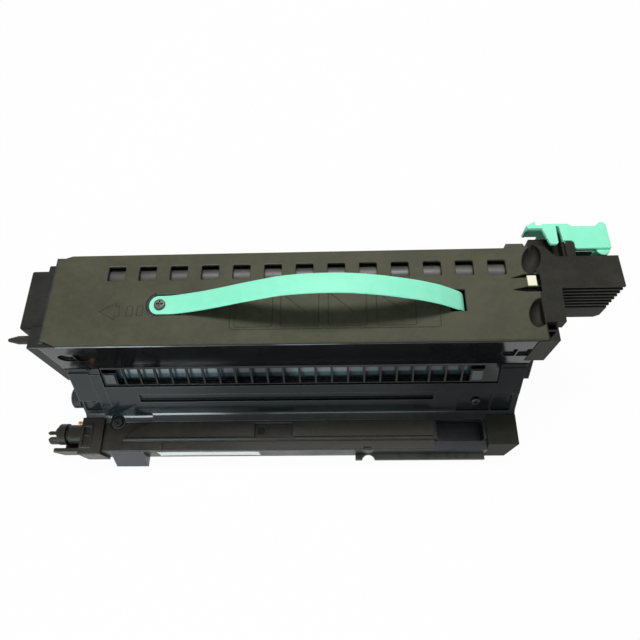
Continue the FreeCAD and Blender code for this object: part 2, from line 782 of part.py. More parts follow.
def window_cuts():
    """The row of windows; the wide end ones are L-shaped round a shallow seat for their pad."""
    deep = WALL_T + 2.0
    cuts = []
    for n in range(WINDOW_COUNT):
        x = WINDOW_FIRST_X + n * WINDOW_PITCH
        cuts.append(on_wall(x, x + WINDOW_W, WINDOW_BOTTOM_Z, WINDOW_TOP_Z, deep))
    left, right = end_windows()
    corner = END_PAD_W + 1.8
    frame_z = END_PAD_TOP_Z + 0.9
    seat = GRILLE_INSET + 0.6
    cuts.append(on_wall(left, left + END_WINDOW_W, frame_z, WINDOW_TOP_Z, deep))
    cuts.append(on_wall(left + corner, left + END_WINDOW_W, WINDOW_BOTTOM_Z, frame_z + 0.1, deep))
    cuts.append(on_wall(left + 0.9, left + 0.9 + END_PAD_W, END_PAD_BOTTOM_Z, END_PAD_TOP_Z, seat))
    cuts.append(on_wall(right, right + END_WINDOW_W, frame_z, WINDOW_TOP_Z, deep))
    cuts.append(on_wall(right, right + END_WINDOW_W - corner, WINDOW_BOTTOM_Z, frame_z + 0.1, deep))
    pad_x = right + END_WINDOW_W - END_PAD_W - 0.9
    cuts.append(on_wall(pad_x, pad_x + END_PAD_W, END_PAD_BOTTOM_Z, END_PAD_TOP_Z, seat))
    return cuts


def stadium(x0, x1, z0, z1, y0, y1):
    """Round-ended slot shape carried along Y."""
    r = (z1 - z0) / 2
    middle = (z0 + z1) / 2
    ends = [Part.makeCylinder(r, y1 - y0, V(x, y0, middle), V(0, 1, 0)) for x in (x0 + r, x1 - r)]
    return join([box(x0 + r, x1 - r, y0, y1, z0, z1)] + ends)


def band_recesses():
    """Round-ended recess near each end of the band, each split by a short upright rib."""
    recesses = []
    for x0, x1, rib_x in ((-153.6, -133.4, -142.8), (125.1, 147.0, 134.4)):
        shape = stadium(x0, x1, 80.0, 91.0, -1.0, 1.6)
        recesses.append(shape.cut(box(rib_x - 0.5, rib_x + 0.5, -2, 3, 79, 92)))
    return recesses


def groove_cut():
    return on_wall(-115.5, TRAY_RIGHT - 1.1, 34.0, 40.6, 2.0)


def gear_room():
    """Space left inside the wall for the gears beside the left side plate."""
    x1 = GEAR_X0 + GEAR_W + 1.0
    x0 = INNER_LEFT - 0.2
    rear = rod(REAR_AUGER, gear_radius(AUGER_TEETH, AUGER_MODULE) + AUGER_MODULE + 0.6, x0, x1)
    sleeve = rod(SLEEVE, gear_radius(SLEEVE_TEETH, MODULE) + MODULE + 0.5, x0, x1)
    return [rear, sleeve]


def side_outline():
    """Side plate outline, set behind the band, the leaning wall and its foot."""
    return [
        (BAND_T, COVER_UNDER),
        (BAND_T, BAND_BOTTOM_Z + 4.5),
        (BAND_REAR, BAND_BOTTOM_Z + 2.6),
        (BAND_REAR, WALL_TOP_Z),
        (wall_back_y(WALL_TOP_Z), WALL_TOP_Z),
        (wall_back_y(TRAY_Z + 2.0), TRAY_Z + 2.0),
        (wall_back_y(TRAY_Z) - 1.0, TRAY_Z - TRAY_T),
        (FOOT_END_Y, TRAY_Z - TRAY_T),
        (FOOT_END_Y, 0.0),
        (COVER_DEPTH - 7.0, 0.0),
        (COVER_DEPTH, 9.0),
        (COVER_DEPTH, COVER_UNDER),
    ]


LOCATING_BOSS = (-8.0, 30.2)
LOCATING_BOSS_R = 7.8
LOCATING_BOSS_L = 6.5


def side_plate_left():
    """End wall with its bearing holes, the spring seat and the round locating boss outside it."""
    plate = prism_x(side_outline(), FRAME_LEFT, INNER_LEFT)
    boss = rod(LOCATING_BOSS, LOCATING_BOSS_R, FRAME_LEFT - LOCATING_BOSS_L, FRAME_LEFT)
    rim = [e for e in boss.Edges if abs(e.BoundBox.XMax - (FRAME_LEFT - LOCATING_BOSS_L)) < 0.01]
    boss = boss.makeChamfer(0.8, [rim[0]])
    dimple = rod(LOCATING_BOSS, 3.0, FRAME_LEFT - LOCATING_BOSS_L - 1, FRAME_LEFT - LOCATING_BOSS_L + 2.5)
    body = join([plate, boss.cut(dimple), tube_spigot(INNER_LEFT, 1)] + block_guides(INNER_LEFT, 1))
    holes = [
        rod(DRUM, BUSH_R, FRAME_LEFT - 1, INNER_LEFT + 1),
        rod(SLEEVE, 4.0, FRAME_LEFT + 0.5, INNER_LEFT + 1),
        rod(WASTE, JOURNAL_R + RUN, INNER_LEFT - 1.5, INNER_LEFT + 1),
    ]
    return cut(body, holes)


def side_plate_right():
    """End wall at the grip end, with the slanted tab beside the leaning wall and the stem of the vent tube."""
    plate = prism_x(side_outline(), INNER_RIGHT, FRAME_RIGHT)
    tab_top = BLOCK_BOTTOM_Z - FIT
    tab = prism_x([
        (wall_y(tab_top), tab_top),
        (wall_y(51.4), 51.4),
        (wall_back_y(51.4) + 2.0, 51.4),
        (wall_back_y(tab_top) + 2.0, tab_top),
    ], FRAME_RIGHT, FRAME_RIGHT + 3.4)
    arm = on_wall(WALL_SCREW_X - 4.0, INNER_RIGHT, 27.2, 35.4, WALL_T + 5.0, -WALL_T)
    plug = [
        rod(TUBE, TUBE_R - TUBE_WALL - RUN, TUBE_END - 3.0, TUBE_END),
        rod(TUBE, TUBE_STEM_R, TUBE_END, INNER_RIGHT),
    ]
    plate = cut(plate, [box(INNER_RIGHT - 1, FRAME_RIGHT + 1, SCOOP_BOSS_Y, COVER_DEPTH + 1, SCOOP_BOSS_Z, COVER_Z)])
    body = join([plate, tab, arm] + plug + block_guides(INNER_RIGHT, -1))
    holes = [
        rod(DRUM, 5.5, INNER_RIGHT - 1, FRAME_RIGHT + 1),
        rod(SLEEVE, SLEEVE_SHAFT_R + RUN, INNER_RIGHT - 1, FRAME_RIGHT - 0.5),
        rod(WASTE, JOURNAL_R + RUN, INNER_RIGHT - 1, INNER_RIGHT + 1.5),
        wall_cylinder(WALL_SCREW_X, WALL_SCREW_Z, SCREW_R * SHANK_SHARE, 1, WALL_T + 6),
    ]
    return cut(body, holes)


def block_guides(face, side):
    """Channel on the inside of a side plate for the sliding block, closed on top by the spring's seat."""
    x0, x1 = sorted((face, face + side * CHARGE_BLOCK_X))
    y, z = CHARGE
    inner = CHARGE_BLOCK_W / 2 + RUN
    outer = inner + 1.4
    seat_z = z + CHARGE_BLOCK_TOP + SPRING_L
    return [
        box(x0, x1, y - outer, y - inner, z - 3.9, seat_z),
        box(x0, x1, y + inner, y + outer, z - 3.9, seat_z),
        box(x0, x1, y - outer, y + outer, seat_z, seat_z + 2.0),
    ]


def tube_spigot(face, side):
    """Round plug that carries the left end of the vent tube."""
    x0, x1 = sorted((face, face + side * 3.0))
    bore = TUBE_R - TUBE_WALL
    return tube(TUBE, bore - RUN, bore - 1.5, x0, x1)


def rear_cover():
    """Rear wall with upright stiffening ribs on its inside and a rolled lower edge over the drum."""
    wall = box(INNER_LEFT, INNER_RIGHT, REAR_WALL_Y, COVER_DEPTH, 50.0, COVER_UNDER)
    lip = box(INNER_LEFT, INNER_RIGHT, REAR_WALL_Y - 4.0, REAR_WALL_Y, 50.0, 52.0)
    parts = [wall, lip]
    count = 12
    pitch = (INNER_RIGHT - INNER_LEFT - 20) / (count - 1)
    for n in range(count):
        x = INNER_LEFT + 10 + n * pitch
        parts.append(box(x - 0.8, x + 0.8, REAR_WALL_Y - 1.2, REAR_WALL_Y, 80.0, COVER_UNDER))
    room = [
        box(SCOOP_BOSS_X - FIT, INNER_RIGHT + 1, REAR_WALL_Y - 3, COVER_DEPTH + 1, SCOOP_BOSS_Z, COVER_Z),
        rod(WASTE, gear_radius(WASTE_TEETH, MODULE) + MODULE + 0.5, INNER_LEFT - 1, GEAR_X0 + GEAR_W + 1.0),
    ]
    body = cut(join(parts), room)
    low = 50.01
    return fillet_at(body, 1.5, lambda e: along_x(e) and e.BoundBox.ZMax < low and e.BoundBox.YMin > COVER_DEPTH - 0.1)


def lower_housing():
    """Sump for the two mixing augers: twin gutters, a middle rib, end walls and the flat base."""
    rib = prism_x([
        (TRAY_FRONT_Y, 0.0),
        (SUMP_REAR_Y, 0.0),
        (SUMP_REAR_Y, 17.0),
        (SUMP_REAR_Y - 2.5, 17.0),
        (SUMP_REAR_Y - 4.0, 13.0),
        (REAR_AUGER[0] + REAR_FLIGHT_R + TROUGH_GAP + 1.5, 13.0),
        (REAR_AUGER[0] + REAR_FLIGHT_R + TROUGH_GAP + 1.5, TRAY_Z - TRAY_T),
        (TRAY_STEP_Y, TRAY_Z - TRAY_T),
        (TRAY_STEP_Y, TRAY_Z - TRAY_T - TRAY_STEP),
        (TRAY_FRONT_Y, TRAY_Z - TRAY_T - TRAY_STEP),
    ], SUMP_LEFT, INNER_RIGHT)
    rib = cut(rib, sump_cuts())
    apron = box(INNER_LEFT, SUMP_LEFT, FOOT_END_Y, SUMP_REAR_Y, 0.0, 1.0)
    boss = post(TRAY_SCREW_X, TRAY_SCREW_Y, 3.0, 5.0, LOW_Z - TRAY_T)
    return cut(join([rib, apron, boss]), [post(TRAY_SCREW_X, TRAY_SCREW_Y, SCREW_R * SHANK_SHARE, 10.0, 20.0)])


def sump_cuts():
    front_r = FRONT_FLIGHT_R + TROUGH_GAP
    rear_r = REAR_FLIGHT_R + TROUGH_GAP
    x0 = SUMP_LEFT + 2.0
    front_x1 = FRONT_AUGER_END
    rear_x1 = SUMP_RIGHT - 2.0
    top = TRAY_Z + 5
    fy = FRONT_AUGER[0]
    ry = REAR_AUGER[0]
    cuts = [
        rod(FRONT_AUGER, front_r, x0, front_x1),
        box(x0, front_x1, fy - front_r, fy + front_r, AUGER_Z, top),
        rod(REAR_AUGER, rear_r, x0, rear_x1),
        box(x0, rear_x1, ry - rear_r, ry + rear_r, AUGER_Z, top),
        rod(FRONT_AUGER, JOURNAL_R + RUN, SUMP_LEFT - 1, FRONT_AUGER_END + 2.5),
        rod(REAR_AUGER, JOURNAL_R + RUN, SUMP_LEFT - 1, SUMP_RIGHT + 0.5),
        box(PORT_X0 - 3.0, PORT_X1 + SHUTTER_TRAVEL + 3.0, -37.0, TRAY_BACK_Y + 0.4, SHUTTER_Z - RUN, top),
        box(SUMP_RIGHT, INNER_RIGHT + 1, TRAY_FRONT_Y - 1, FOOT_END_Y, -1.0, top),
        box(SUMP_LEFT - 1, LOW_X1 + 2.0, TRAY_STEP_Y, wall_back_y(TRAY_Z) - 1.0, LOW_Z - TRAY_T, top),
    ]
    pocket_x0 = TRAY_RIGHT + 2.0
    cuts.append(rounded_box(pocket_x0, SUMP_RIGHT - 2.0, -38.0, TRAY_BACK_Y + 0.5, 7.0, top, 2.0))
    for x in (-120.0, -80.0, 20.0, 60.0, 100.0):
        cuts.append(box(x, x + 30.0, -4.0, SUMP_REAR_Y - 3.5, -1.0, 10.0))
    return cuts


def low_corner(shift):
    """Plan of the tray's lower left corner, whose right edge sweeps back from the bead to the wall."""
    sweep = [(-129.6, -36.3), (-124.0, -31.3), (-118.0, -27.2), (LOW_X1 + 1.0, TRAY_BACK_Y)]
    outline = [(TRAY_LEFT, TRAY_BACK_Y), (TRAY_LEFT, TRAY_STEP_Y), (-129.6 + shift, TRAY_STEP_Y)]
    return outline + [(x + shift, y) for x, y in sweep]


def tray_cover():
    """Lid of the sump: raised panel, low left corner, bead, strip in front, and the toner port."""
    under = TRAY_Z - TRAY_T
    panel = box(TRAY_LEFT, TRAY_RIGHT, TRAY_STEP_Y, TRAY_BACK_Y, under, TRAY_Z)
    edge = [e for e in panel.Edges if along_x(e) and e.BoundBox.ZMin > under and e.BoundBox.YMax < TRAY_STEP_Y + 0.1]
    panel = panel.makeChamfer(0.4, edge)
    panel = panel.cut(prism_z(low_corner(0.0), under - 1, TRAY_Z + 1))
    floor = prism_z(low_corner(1.6), LOW_Z - TRAY_T, LOW_Z)
    floor = floor.cut(box(LOW_X1 + 2.0, 0.0, -50.0, 0.0, 0.0, TRAY_Z))
    strip = prism_x([
        (TRAY_STEP_Y, under),
        (TRAY_STEP_Y, LOW_Z - TRAY_T),
        (TRAY_FRONT_Y, LOW_Z - TRAY_T),
        (TRAY_FRONT_Y, LOW_Z - 0.6),
        (TRAY_FRONT_Y + 0.6, LOW_Z),
        (TRAY_STEP_Y + 0.5, LOW_Z),
        (TRAY_STEP_Y + 0.5, under),
    ], TRAY_LEFT, TRAY_RIGHT)
    parts = [panel, floor, strip]
    for x0, x1 in ((-129.0, PORT_X0 - 1.0), (PORT_X1 + 1.0, TRAY_RIGHT - 1.0)):
        parts.append(rod((TRAY_STEP_Y + 1.3, TRAY_Z - 0.1), 0.8, x0, x1))
    cuts = [
        box(PORT_X0, PORT_X1, TRAY_STEP_Y + 1.5, TRAY_BACK_Y - 1.6, 10.0, TRAY_Z + 2),
        box(-101.5, -101.0, TRAY_FRONT_Y - 1, TRAY_STEP_Y - 0.6, LOW_Z - 0.5, TRAY_Z + 1),
        box(41.0, 46.0, TRAY_FRONT_Y - 1, TRAY_FRONT_Y + 2.2, LOW_Z - 2.0, LOW_Z + 1),
        post(TRAY_SCREW_X, TRAY_SCREW_Y, SCREW_SEAT_R + FIT, 10.0, TRAY_Z + 2),
    ]
    return cut(join(parts), cuts)


SHUTTER_TRAVEL = 28.0
SHUTTER_Z = 16.8


def toner_shutter():
    """Sliding plate that closes the toner port from below, with a small pull rib."""
    plate = box(PORT_X0 - 2.0, PORT_X1 + 2.0, -36.7, TRAY_BACK_Y + 0.1, SHUTTER_Z, TRAY_Z - TRAY_T - RUN)
    grooves = [box(x, x + 0.8, -33.0, -27.5, 18.0, 20.0) for x in (PORT_X0 + 2.0, PORT_X0 + 3.8, PORT_X0 + 5.6)]
    return cut(plate, grooves)


def tray_screw():
    """Self-tapping screw that holds the wall's lug down on the sump."""
    return screw_down(TRAY_SCREW_X, TRAY_SCREW_Y, LOW_Z - 1.2, SCREW_R, 7.0)


POCKET_DEPTH = 1.2


def wall_screw():
    """Screw square to the leaning wall, into the side plate's arm."""
    screw = screw_down(0, 0, -POCKET_DEPTH, SCREW_R, 6.3)
    screw.rotate(V(0, 0, 0), V(1, 0, 0), 90 - WALL_LEAN)
    screw.translate(V(WALL_SCREW_X, wall_y(WALL_SCREW_Z), WALL_SCREW_Z))
    return screw


def screw_down(x, y, seat_z, head_r, length):
    """Pan-head screw with a cross recess, standing on seat_z."""
    head = post(x, y, head_r, seat_z, seat_z + 1.7)
    rim = [e for e in head.Edges if e.BoundBox.ZMin > seat_z + 1.6]
    head = head.makeFillet(0.7, rim)
    shank = post(x, y, head_r * SHANK_SHARE, seat_z - length, seat_z)
    slot = head_r * 0.62
    recess = [
        box(x - slot, x + slot, y - 0.4, y + 0.4, seat_z + 0.7, seat_z + 2),
        box(x - 0.4, x + 0.4, y - slot, y + slot, seat_z + 0.7, seat_z + 2),
    ]
    return cut(join([head, shank]), recess)


def tray_cap_left():
    """Hollow cap over the auger gears at the lower left, with a raised frame round a crossed recess."""
    x1 = SUMP_LEFT
    outer = prism_x([
        (FOOT_END_Y, 0.0),
        (FOOT_END_Y, TRAY_Z),
        (-46.2, TRAY_Z),
        (-46.8, TRAY_Z - 0.8),
        (-46.2, 0.0),
    ], CAP_LEFT, x1)
    hollow = box(CAP_LEFT + 2.4, x1 + 1, -43.8, -19.0, 1.0, TRAY_Z - 2.6)
    frame = box(CAP_LEFT + 1.0, CAP_LEFT + 8.6, -42.3, -25.3, TRAY_Z - 0.5, TRAY_Z + 0.6)
    recess = box(CAP_LEFT + 2.2, CAP_LEFT + 7.3, -40.6, -27.2, TRAY_Z - 1.1, TRAY_Z + 1)
    cross = box(CAP_LEFT + 2.0, CAP_LEFT + 7.5, -33.4, -32.7, TRAY_Z - 1.2, TRAY_Z - 0.4)
    gear_r = gear_radius(AUGER_TEETH, AUGER_MODULE) + AUGER_MODULE
    gear_space = rod(FRONT_AUGER, gear_r + 0.2, GEAR_X0 - 0.8, x1 + 1)
    neck = rod(FRONT_AUGER, 4.0 + RUN, CAP_LEFT - 1, CAP_LEFT + 4)
    contact = Part.makeCylinder(CONTACT_R, 5.0, V(CAP_LEFT - 1.0, CONTACT_Y, CONTACT_Z), V(1, 0, 0))
    sink = box(-151.6, -149.9, -47.5, -45.2, 16.0, 17.2)
    body = cut(join([outer, frame]), [hollow, recess, neck, contact, sink, gear_space])
    return join([body, cross])


def coupling_guard():
    """Bracket under the dog coupling: a floor and a front wall whose outer end slants down and in."""
    front_y = -43.0
    wall = prism_y([
        (CAP_LEFT, 0.0),
        (CAP_LEFT - 18.6, 0.0),
        (CAP_LEFT - 22.6, 9.0),
        (CAP_LEFT - 22.4, 11.2),
        (CAP_LEFT - 21.0, 12.4),
        (CAP_LEFT, 12.4),
    ], front_y, front_y + 2.6)
    floor = box(CAP_LEFT - 18.6, CAP_LEFT, front_y, -22.0, 0.0, 1.6)
    return join([wall, floor])


def foot():
    """Leaning foot under the tray's left end."""
    return prism_x([
        (TRAY_FRONT_Y, 16.2),
        (TRAY_FRONT_Y - 0.2, 16.2),
        (-51.5, 0.0),
        (TRAY_FRONT_Y, 0.0),
    ], -139.0, -115.5)


def tray_block_right():
    """Corner block at the grip end of the tray, narrowing downwards."""
    x0 = SUMP_RIGHT
    y1 = FOOT_END_Y
    top = [(x0, -41.8), (FRAME_RIGHT + 0.4, -41.8), (FRAME_RIGHT + 0.4, y1), (x0, y1)]
    bottom = [(x0, -45.3), (FRAME_RIGHT - 5.4, -45.3), (FRAME_RIGHT - 5.4, y1), (x0, y1)]
    upper = Part.makePolygon([V(x, y, TRAY_Z) for x, y in top + top[:1]])
    lower = Part.makePolygon([V(x, y, 0) for x, y in bottom + bottom[:1]])
    return Part.makeLoft([lower, upper], True, True)


def guide_rail():
    """Metal ledge along the foot of the front wall, with a half-round notch."""
    rail = box(35.2, 126.6, -48.8, TRAY_FRONT_Y, 2.6, 5.4)
    return cut(rail, [post(44.5, -49.6, 4.6, 0, 8)])


def top_cover():
    """Cover plate with cut corners, vent slots, strap seat, strap slot, scoops and pad pocket."""
    outline = [
        (COVER_LEFT, 3.6),
        (COVER_LEFT + 9.2, 0.0),
        (COVER_RIGHT, 0.0),
        (COVER_RIGHT, COVER_DEPTH),
        (COVER_LEFT + 9.2, COVER_DEPTH),
        (COVER_LEFT, COVER_DEPTH - 3.2),
    ]
    plate = prism_z(outline, COVER_UNDER, COVER_Z)
    plate = fillet_at(plate, 0.9, lambda e: e.BoundBox.ZMin > COVER_Z - 0.01 and e.BoundBox.YMax < 3.7)
    rear = COVER_DEPTH
    step = prism_z([(129.2, rear - 1), (131.3, rear + 3.1), (141.9, rear + 3.1), (143.2, rear + 0.5),
                    (COVER_RIGHT, rear + 0.5), (COVER_RIGHT, rear - 1)], COVER_UNDER, COVER_Z)
    boss = join([
        rounded_box(STRAP_SCREW_X - 12, STRAP_SCREW_X + 18, STRAP_Y - 9, STRAP_Y + 9, COVER_UNDER - 4, COVER_UNDER, 2),
        box(SCOOP_BOSS_X, FRAME_RIGHT, SCOOP_BOSS_Y, COVER_DEPTH, SCOOP_BOSS_Z, COVER_UNDER),
    ])
    plate = join([plate, step, boss])
    return cut(plate, vent_cuts() + strap_cuts() + pad_cuts() + scoop_cuts())


def vent_cuts():
    cuts = []
    for n in range(SLOT_COUNT):
        x = SLOT_FIRST_X + n * SLOT_PITCH
        cuts.append(rounded_box(x, x + SLOT_W, SLOT_Y, SLOT_Y + SLOT_D, COVER_UNDER - 1, COVER_Z + 1, SLOT_R))
    return cuts


def strap_cuts():
    """Round-ended seat for the strap's fixed end, its screw hole, and the slot for the free end."""
    seat_r = STRAP_END_R + 0.8
    x0 = STRAP_SCREW_X - 1.2
    seat = join([
        post(x0, STRAP_Y, seat_r, COVER_Z - STRAP_T, COVER_Z + 1),
        box(x0, STRAP_SCREW_X + 14, STRAP_Y - seat_r, STRAP_Y + seat_r, COVER_Z - STRAP_T, COVER_Z + 1),
    ])
    hole = post(STRAP_SCREW_X, STRAP_Y, SCREW_HEAD_R * SHANK_SHARE, COVER_UNDER - 5, COVER_Z)
    slot_w = STRAP_W / 2 + 1.0
    slot = box(92.6, 102.3, STRAP_Y - slot_w, STRAP_Y + slot_w, COVER_UNDER - 1, COVER_Z + 1)
    return [seat, hole, slot]


PAD_X0 = 141.2
PAD_X1 = 146.7
PAD_Y0 = 35.9
PAD_Y1 = 43.0
PAD_DEPTH = 4.5


def pad_cuts():
    """Pocket for the white pad, with a wedge-shaped groove that deepens towards it on each side."""
    floor = COVER_Z - PAD_DEPTH
    pocket = box(139.8, COVER_RIGHT + 1.6, PAD_Y0 - 0.4, PAD_Y1 + 0.4, floor, COVER_Z + 1)
    cuts = [pocket]
    for tip_y, y0, y1 in ((41.1, 41.4, 44.0), (32.9, 31.6, 35.2)):
        profile = Part.makePolygon([V(139.8, y0, COVER_Z + 1), V(139.8, y1, COVER_Z + 1), V(139.8, y1, floor + 1),
                                    V(139.8, y0, floor + 1), V(139.8, y0, COVER_Z + 1)])
        end = Part.makePolygon([V(131.2, tip_y - 0.1, COVER_Z + 1), V(131.2, tip_y + 0.1, COVER_Z + 1),
                                V(131.2, tip_y + 0.1, COVER_Z - 0.05), V(131.2, tip_y - 0.1, COVER_Z - 0.05),
                                V(131.2, tip_y - 0.1, COVER_Z + 1)])
        cuts.append(Part.makeLoft([end, profile], True, True))
        cuts.append(box(139.7, COVER_RIGHT + 1.4, y0, y1, floor + 1, COVER_Z + 1))
    return cuts


SCOOP_DEPTH = 6.2


def scoop_cuts():
    """Two oval finger scoops, hollowed across the joint between the cover and the end cap."""
    cuts = []
    for x, y, turn, length, width in ((146.4, 54.4, 68.0, 22.0, 12.8), (145.3, 17.6, 69.0, 20.4, 12.4)):
        dish = Part.makeSphere(1.0, V(0, 0, 0))
        matrix = FreeCAD.Matrix()
        matrix.scale(V(length / 2, width / 2, SCOOP_DEPTH))
        dish = dish.transformGeometry(matrix)
        dish.rotate(V(0, 0, 0), V(0, 0, 1), turn)
        dish.translate(V(x, y, COVER_Z))
        cuts.append(dish)
    return cuts


def handle_strap():
    """Springy moulded strap: flat round eye, long arch, and a tail that dives through the cover's slot."""
    flat_end = V(STRAP_SCREW_X + 4.0, 0, COVER_Z)
    arch = [
        (STRAP_SCREW_X + 6.6, 0.9),
        (STRAP_SCREW_X + 15.6, 4.7),
        (STRAP_SCREW_X + 27.3, 9.5),
        (-32.6, 18.2),
        (-8.6, 23.2),
        (8.8, STRAP_RISE),
        (25.9, 23.4),
        (49.1, 19.4),
        (72.9, 12.5),
        (88.7, 5.6),
        (94.2, 1.6),
        (97.8, -2.6),
        (99.6, -6.5),
        (STRAP_EXIT_X + 1.0, -9.6),
    ]
    upper = Part.BSplineCurve()
    upper.interpolate(
        Points=[flat_end] + [V(x, 0, COVER_Z + z) for x, z in arch],
        InitialTangent=V(3, 0, 0.2),
        FinalTangent=V(0.2, 0, -2),
    )
    lower_points = []
    steps = 40
    for n in range(steps + 1):
        u = upper.FirstParameter + (upper.LastParameter - upper.FirstParameter) * n / steps
        t = upper.tangent(u)[0]
        lower_points.append(upper.value(u) + V(t.z, 0, -t.x) * STRAP_T)
    lower = Part.BSplineCurve()
    lower.interpolate(lower_points)
    drop = V(0, 0, -STRAP_T)
    eye_x = STRAP_SCREW_X - 8.0
    eye = [V(eye_x, 0, COVER_Z), V(eye_x, 0, COVER_Z) + drop]
    edges = [
        upper.toShape(),
        lower.toShape(),
        Part.makeLine(upper.EndPoint, lower.EndPoint),
        Part.makeLine(lower.StartPoint, eye[1]),
        Part.makeLine(eye[1], eye[0]),
        Part.makeLine(eye[0], upper.StartPoint),
    ]
    face = Part.Face(Part.Wire(Part.__sortEdges__(edges)))
    band = face.extrude(V(0, STRAP_W, 0))
    band.translate(V(0, STRAP_Y - STRAP_W / 2, 0))
    left = eye_x + STRAP_END_R
    plan = join([
        post(left, STRAP_Y, STRAP_END_R, 80, 150),
        box(left, 140, STRAP_Y - STRAP_W / 2, STRAP_Y + STRAP_W / 2, 80, 150),
    ])
    band = band.common(plan)
    anchor_x = STRAP_EXIT_X + 1.0
    anchor = box(anchor_x - 2.2, anchor_x + 1.6, STRAP_Y - 9.0, STRAP_Y + 9.0, 94.2, 96.8)
    band = join([band, anchor])
    return cut(band, [post(STRAP_SCREW_X, STRAP_Y, 1.9, 100, 110)])


def strap_screw():
    return screw_down(STRAP_SCREW_X, STRAP_Y, COVER_Z, SCREW_HEAD_R, 7.5)


def alignment_pad():
    return box(PAD_X0, PAD_X1, PAD_Y0, PAD_Y1, COVER_Z - PAD_DEPTH, COVER_Z - 0.3)


def left_end_housing():
    """Shelf-like end housing: open underneath, stepped at the rear, with a tall block at its front."""
    top_z = COVER_Z - 5.0
    rear = COVER_DEPTH
    shell = prism_z([(-175.2, rear - 7.3), (-174.7, 14.2), (FRAME_LEFT, 14.2), (FRAME_LEFT, rear - 7.3)], 62.0, top_z)
    shell = fillet_at(shell, 1.2, lambda e: e.BoundBox.XMax < -174.0 and e.BoundBox.ZLength > 30)
    shell = fillet_at(shell, 2.0, lambda e: e.BoundBox.ZMin > top_z - 0.01 and e.BoundBox.YMax < 15.5 and along_x(e))
    step = rounded_box(-163.8, FRAME_LEFT, rear - 12.0, rear - 4.0, 62.0, top_z, 1.0)
    hollow = box(-172.7, FRAME_LEFT - 2.0, 16.2, rear - 9.5, 61.0, top_z - 2.5)
    block = box(-165.7, FRAME_LEFT, 0.0, 14.2, 44.5, COVER_Z - 3.4)
    hub_room = rod(DRUM, DRIVE_HUB_R + 3.8, FRAME_LEFT - 10, FRAME_LEFT + 1)
    return cut(join([cut(join([shell, step]), [hollow]), block]), [hub_room])


PIN_R = 2.7
PIN = (7.6, 98.0)


def guide_pin_left():
    """Slender locating pin with a tapered, rounded nose, set in the front block."""
    x0 = -165.7
    straight = 8.5
    nose_l = 5.6
    tip_r = 1.3
    nose = Part.makeCone(PIN_R, tip_r, nose_l, V(x0 - straight, PIN[0], PIN[1]), V(-1, 0, 0))
    ball = Part.makeSphere(tip_r, V(x0 - straight - nose_l, PIN[0], PIN[1]))
    return join([rod(PIN, PIN_R, x0 - straight, x0), nose, ball])


def right_end_cap():
    """End cap with its front block, finned grip box, lever shelf and stop rib, in one moulding."""
    rear = COVER_DEPTH
    left = COVER_RIGHT + FIT
    top = prism_z([
        (left, 11.2),
        (159.8, 11.2),
        (CAP_RIGHT, GRIP_FRONT_Y),
        (CAP_RIGHT, rear - 6.6),
        (154.4, rear + 0.9),
        (left, rear + 0.9),
    ], COVER_Z - 8.6, COVER_Z)
    core = box(FRAME_RIGHT, 155.0, 12.5, rear - 3.0, 60.0, COVER_Z - 8.6)
    block = box(FRAME_RIGHT, BLOCK_RIGHT, BLOCK_FRONT_Y, 12.5, BLOCK_BOTTOM_Z, COVER_UNDER)
    crown = box(left - 0.1, BLOCK_RIGHT, BLOCK_FRONT_Y, 12.5, COVER_UNDER - 1, COVER_Z - 1.5)
    lip = box(BLOCK_LEFT, FRAME_RIGHT + 1, BLOCK_FRONT_Y, BAND_T - FIT, BLOCK_BOTTOM_Z, COVER_UNDER)
    pockets = [
        box(148.7, 153.9, 6.6, 10.6, COVER_Z - 7, COVER_Z),
        prism_z([(148.7, 5.4), (153.2, 5.4), (149.0, 1.2)], COVER_Z - 6, COVER_Z),
    ]
    body = join([top, core, block, crown, lip, grip_box(), lever_shelf()])
    return cut(body, pad_cuts() + scoop_cuts() + pockets + [drum_end_room()])


def drum_end_room():
    return rod(DRUM, 8.0, FRAME_RIGHT - 1, FRAME_RIGHT + 6)


def grip_box():
    """Hollow box open to the rear, with a stack of level fins across its front and a plain panel below."""
    front = GRIP_FRONT_Y + FIN_DEPTH
    stack = (FIN_COUNT - 1) * FIN_PITCH + FIN_T
    bottom = COVER_Z - stack - GRIP_LOWER
    corner = 3.0
    outline = [
        (154.0, COVER_Z),
        (GRIP_RIGHT, COVER_Z),
        (GRIP_RIGHT, bottom + corner),
        (GRIP_RIGHT - corner, bottom),
        (154.0, bottom),
    ]
    shell = prism_y(outline, front, GRIP_REAR_Y)
    hollow = box(CAP_RIGHT, GRIP_RIGHT - 2.2, front + 2.2, GRIP_REAR_Y + 1, bottom + 2.2, COVER_Z - 2.2)
    panel = prism_y([
        (CAP_RIGHT - 1.0, COVER_Z - stack),
        (GRIP_RIGHT, COVER_Z - stack),
        (GRIP_RIGHT, bottom + corner),
        (GRIP_RIGHT - corner, bottom),
        (CAP_RIGHT - 1.0, bottom),
    ], GRIP_FRONT_Y, front)
    parts = [cut(shell, [hollow]), panel]
    for n in range(FIN_COUNT):
        z1 = COVER_Z - n * FIN_PITCH
        parts.append(box(CAP_RIGHT - 1.0, GRIP_RIGHT, GRIP_FRONT_Y, front, z1 - FIN_T, z1))
    return join(parts)


RIB_X0 = 166.9
RIB_T = 1.6
RIB_TOP_Z = LEVER_TOP_Z - LEVER_T - FIT


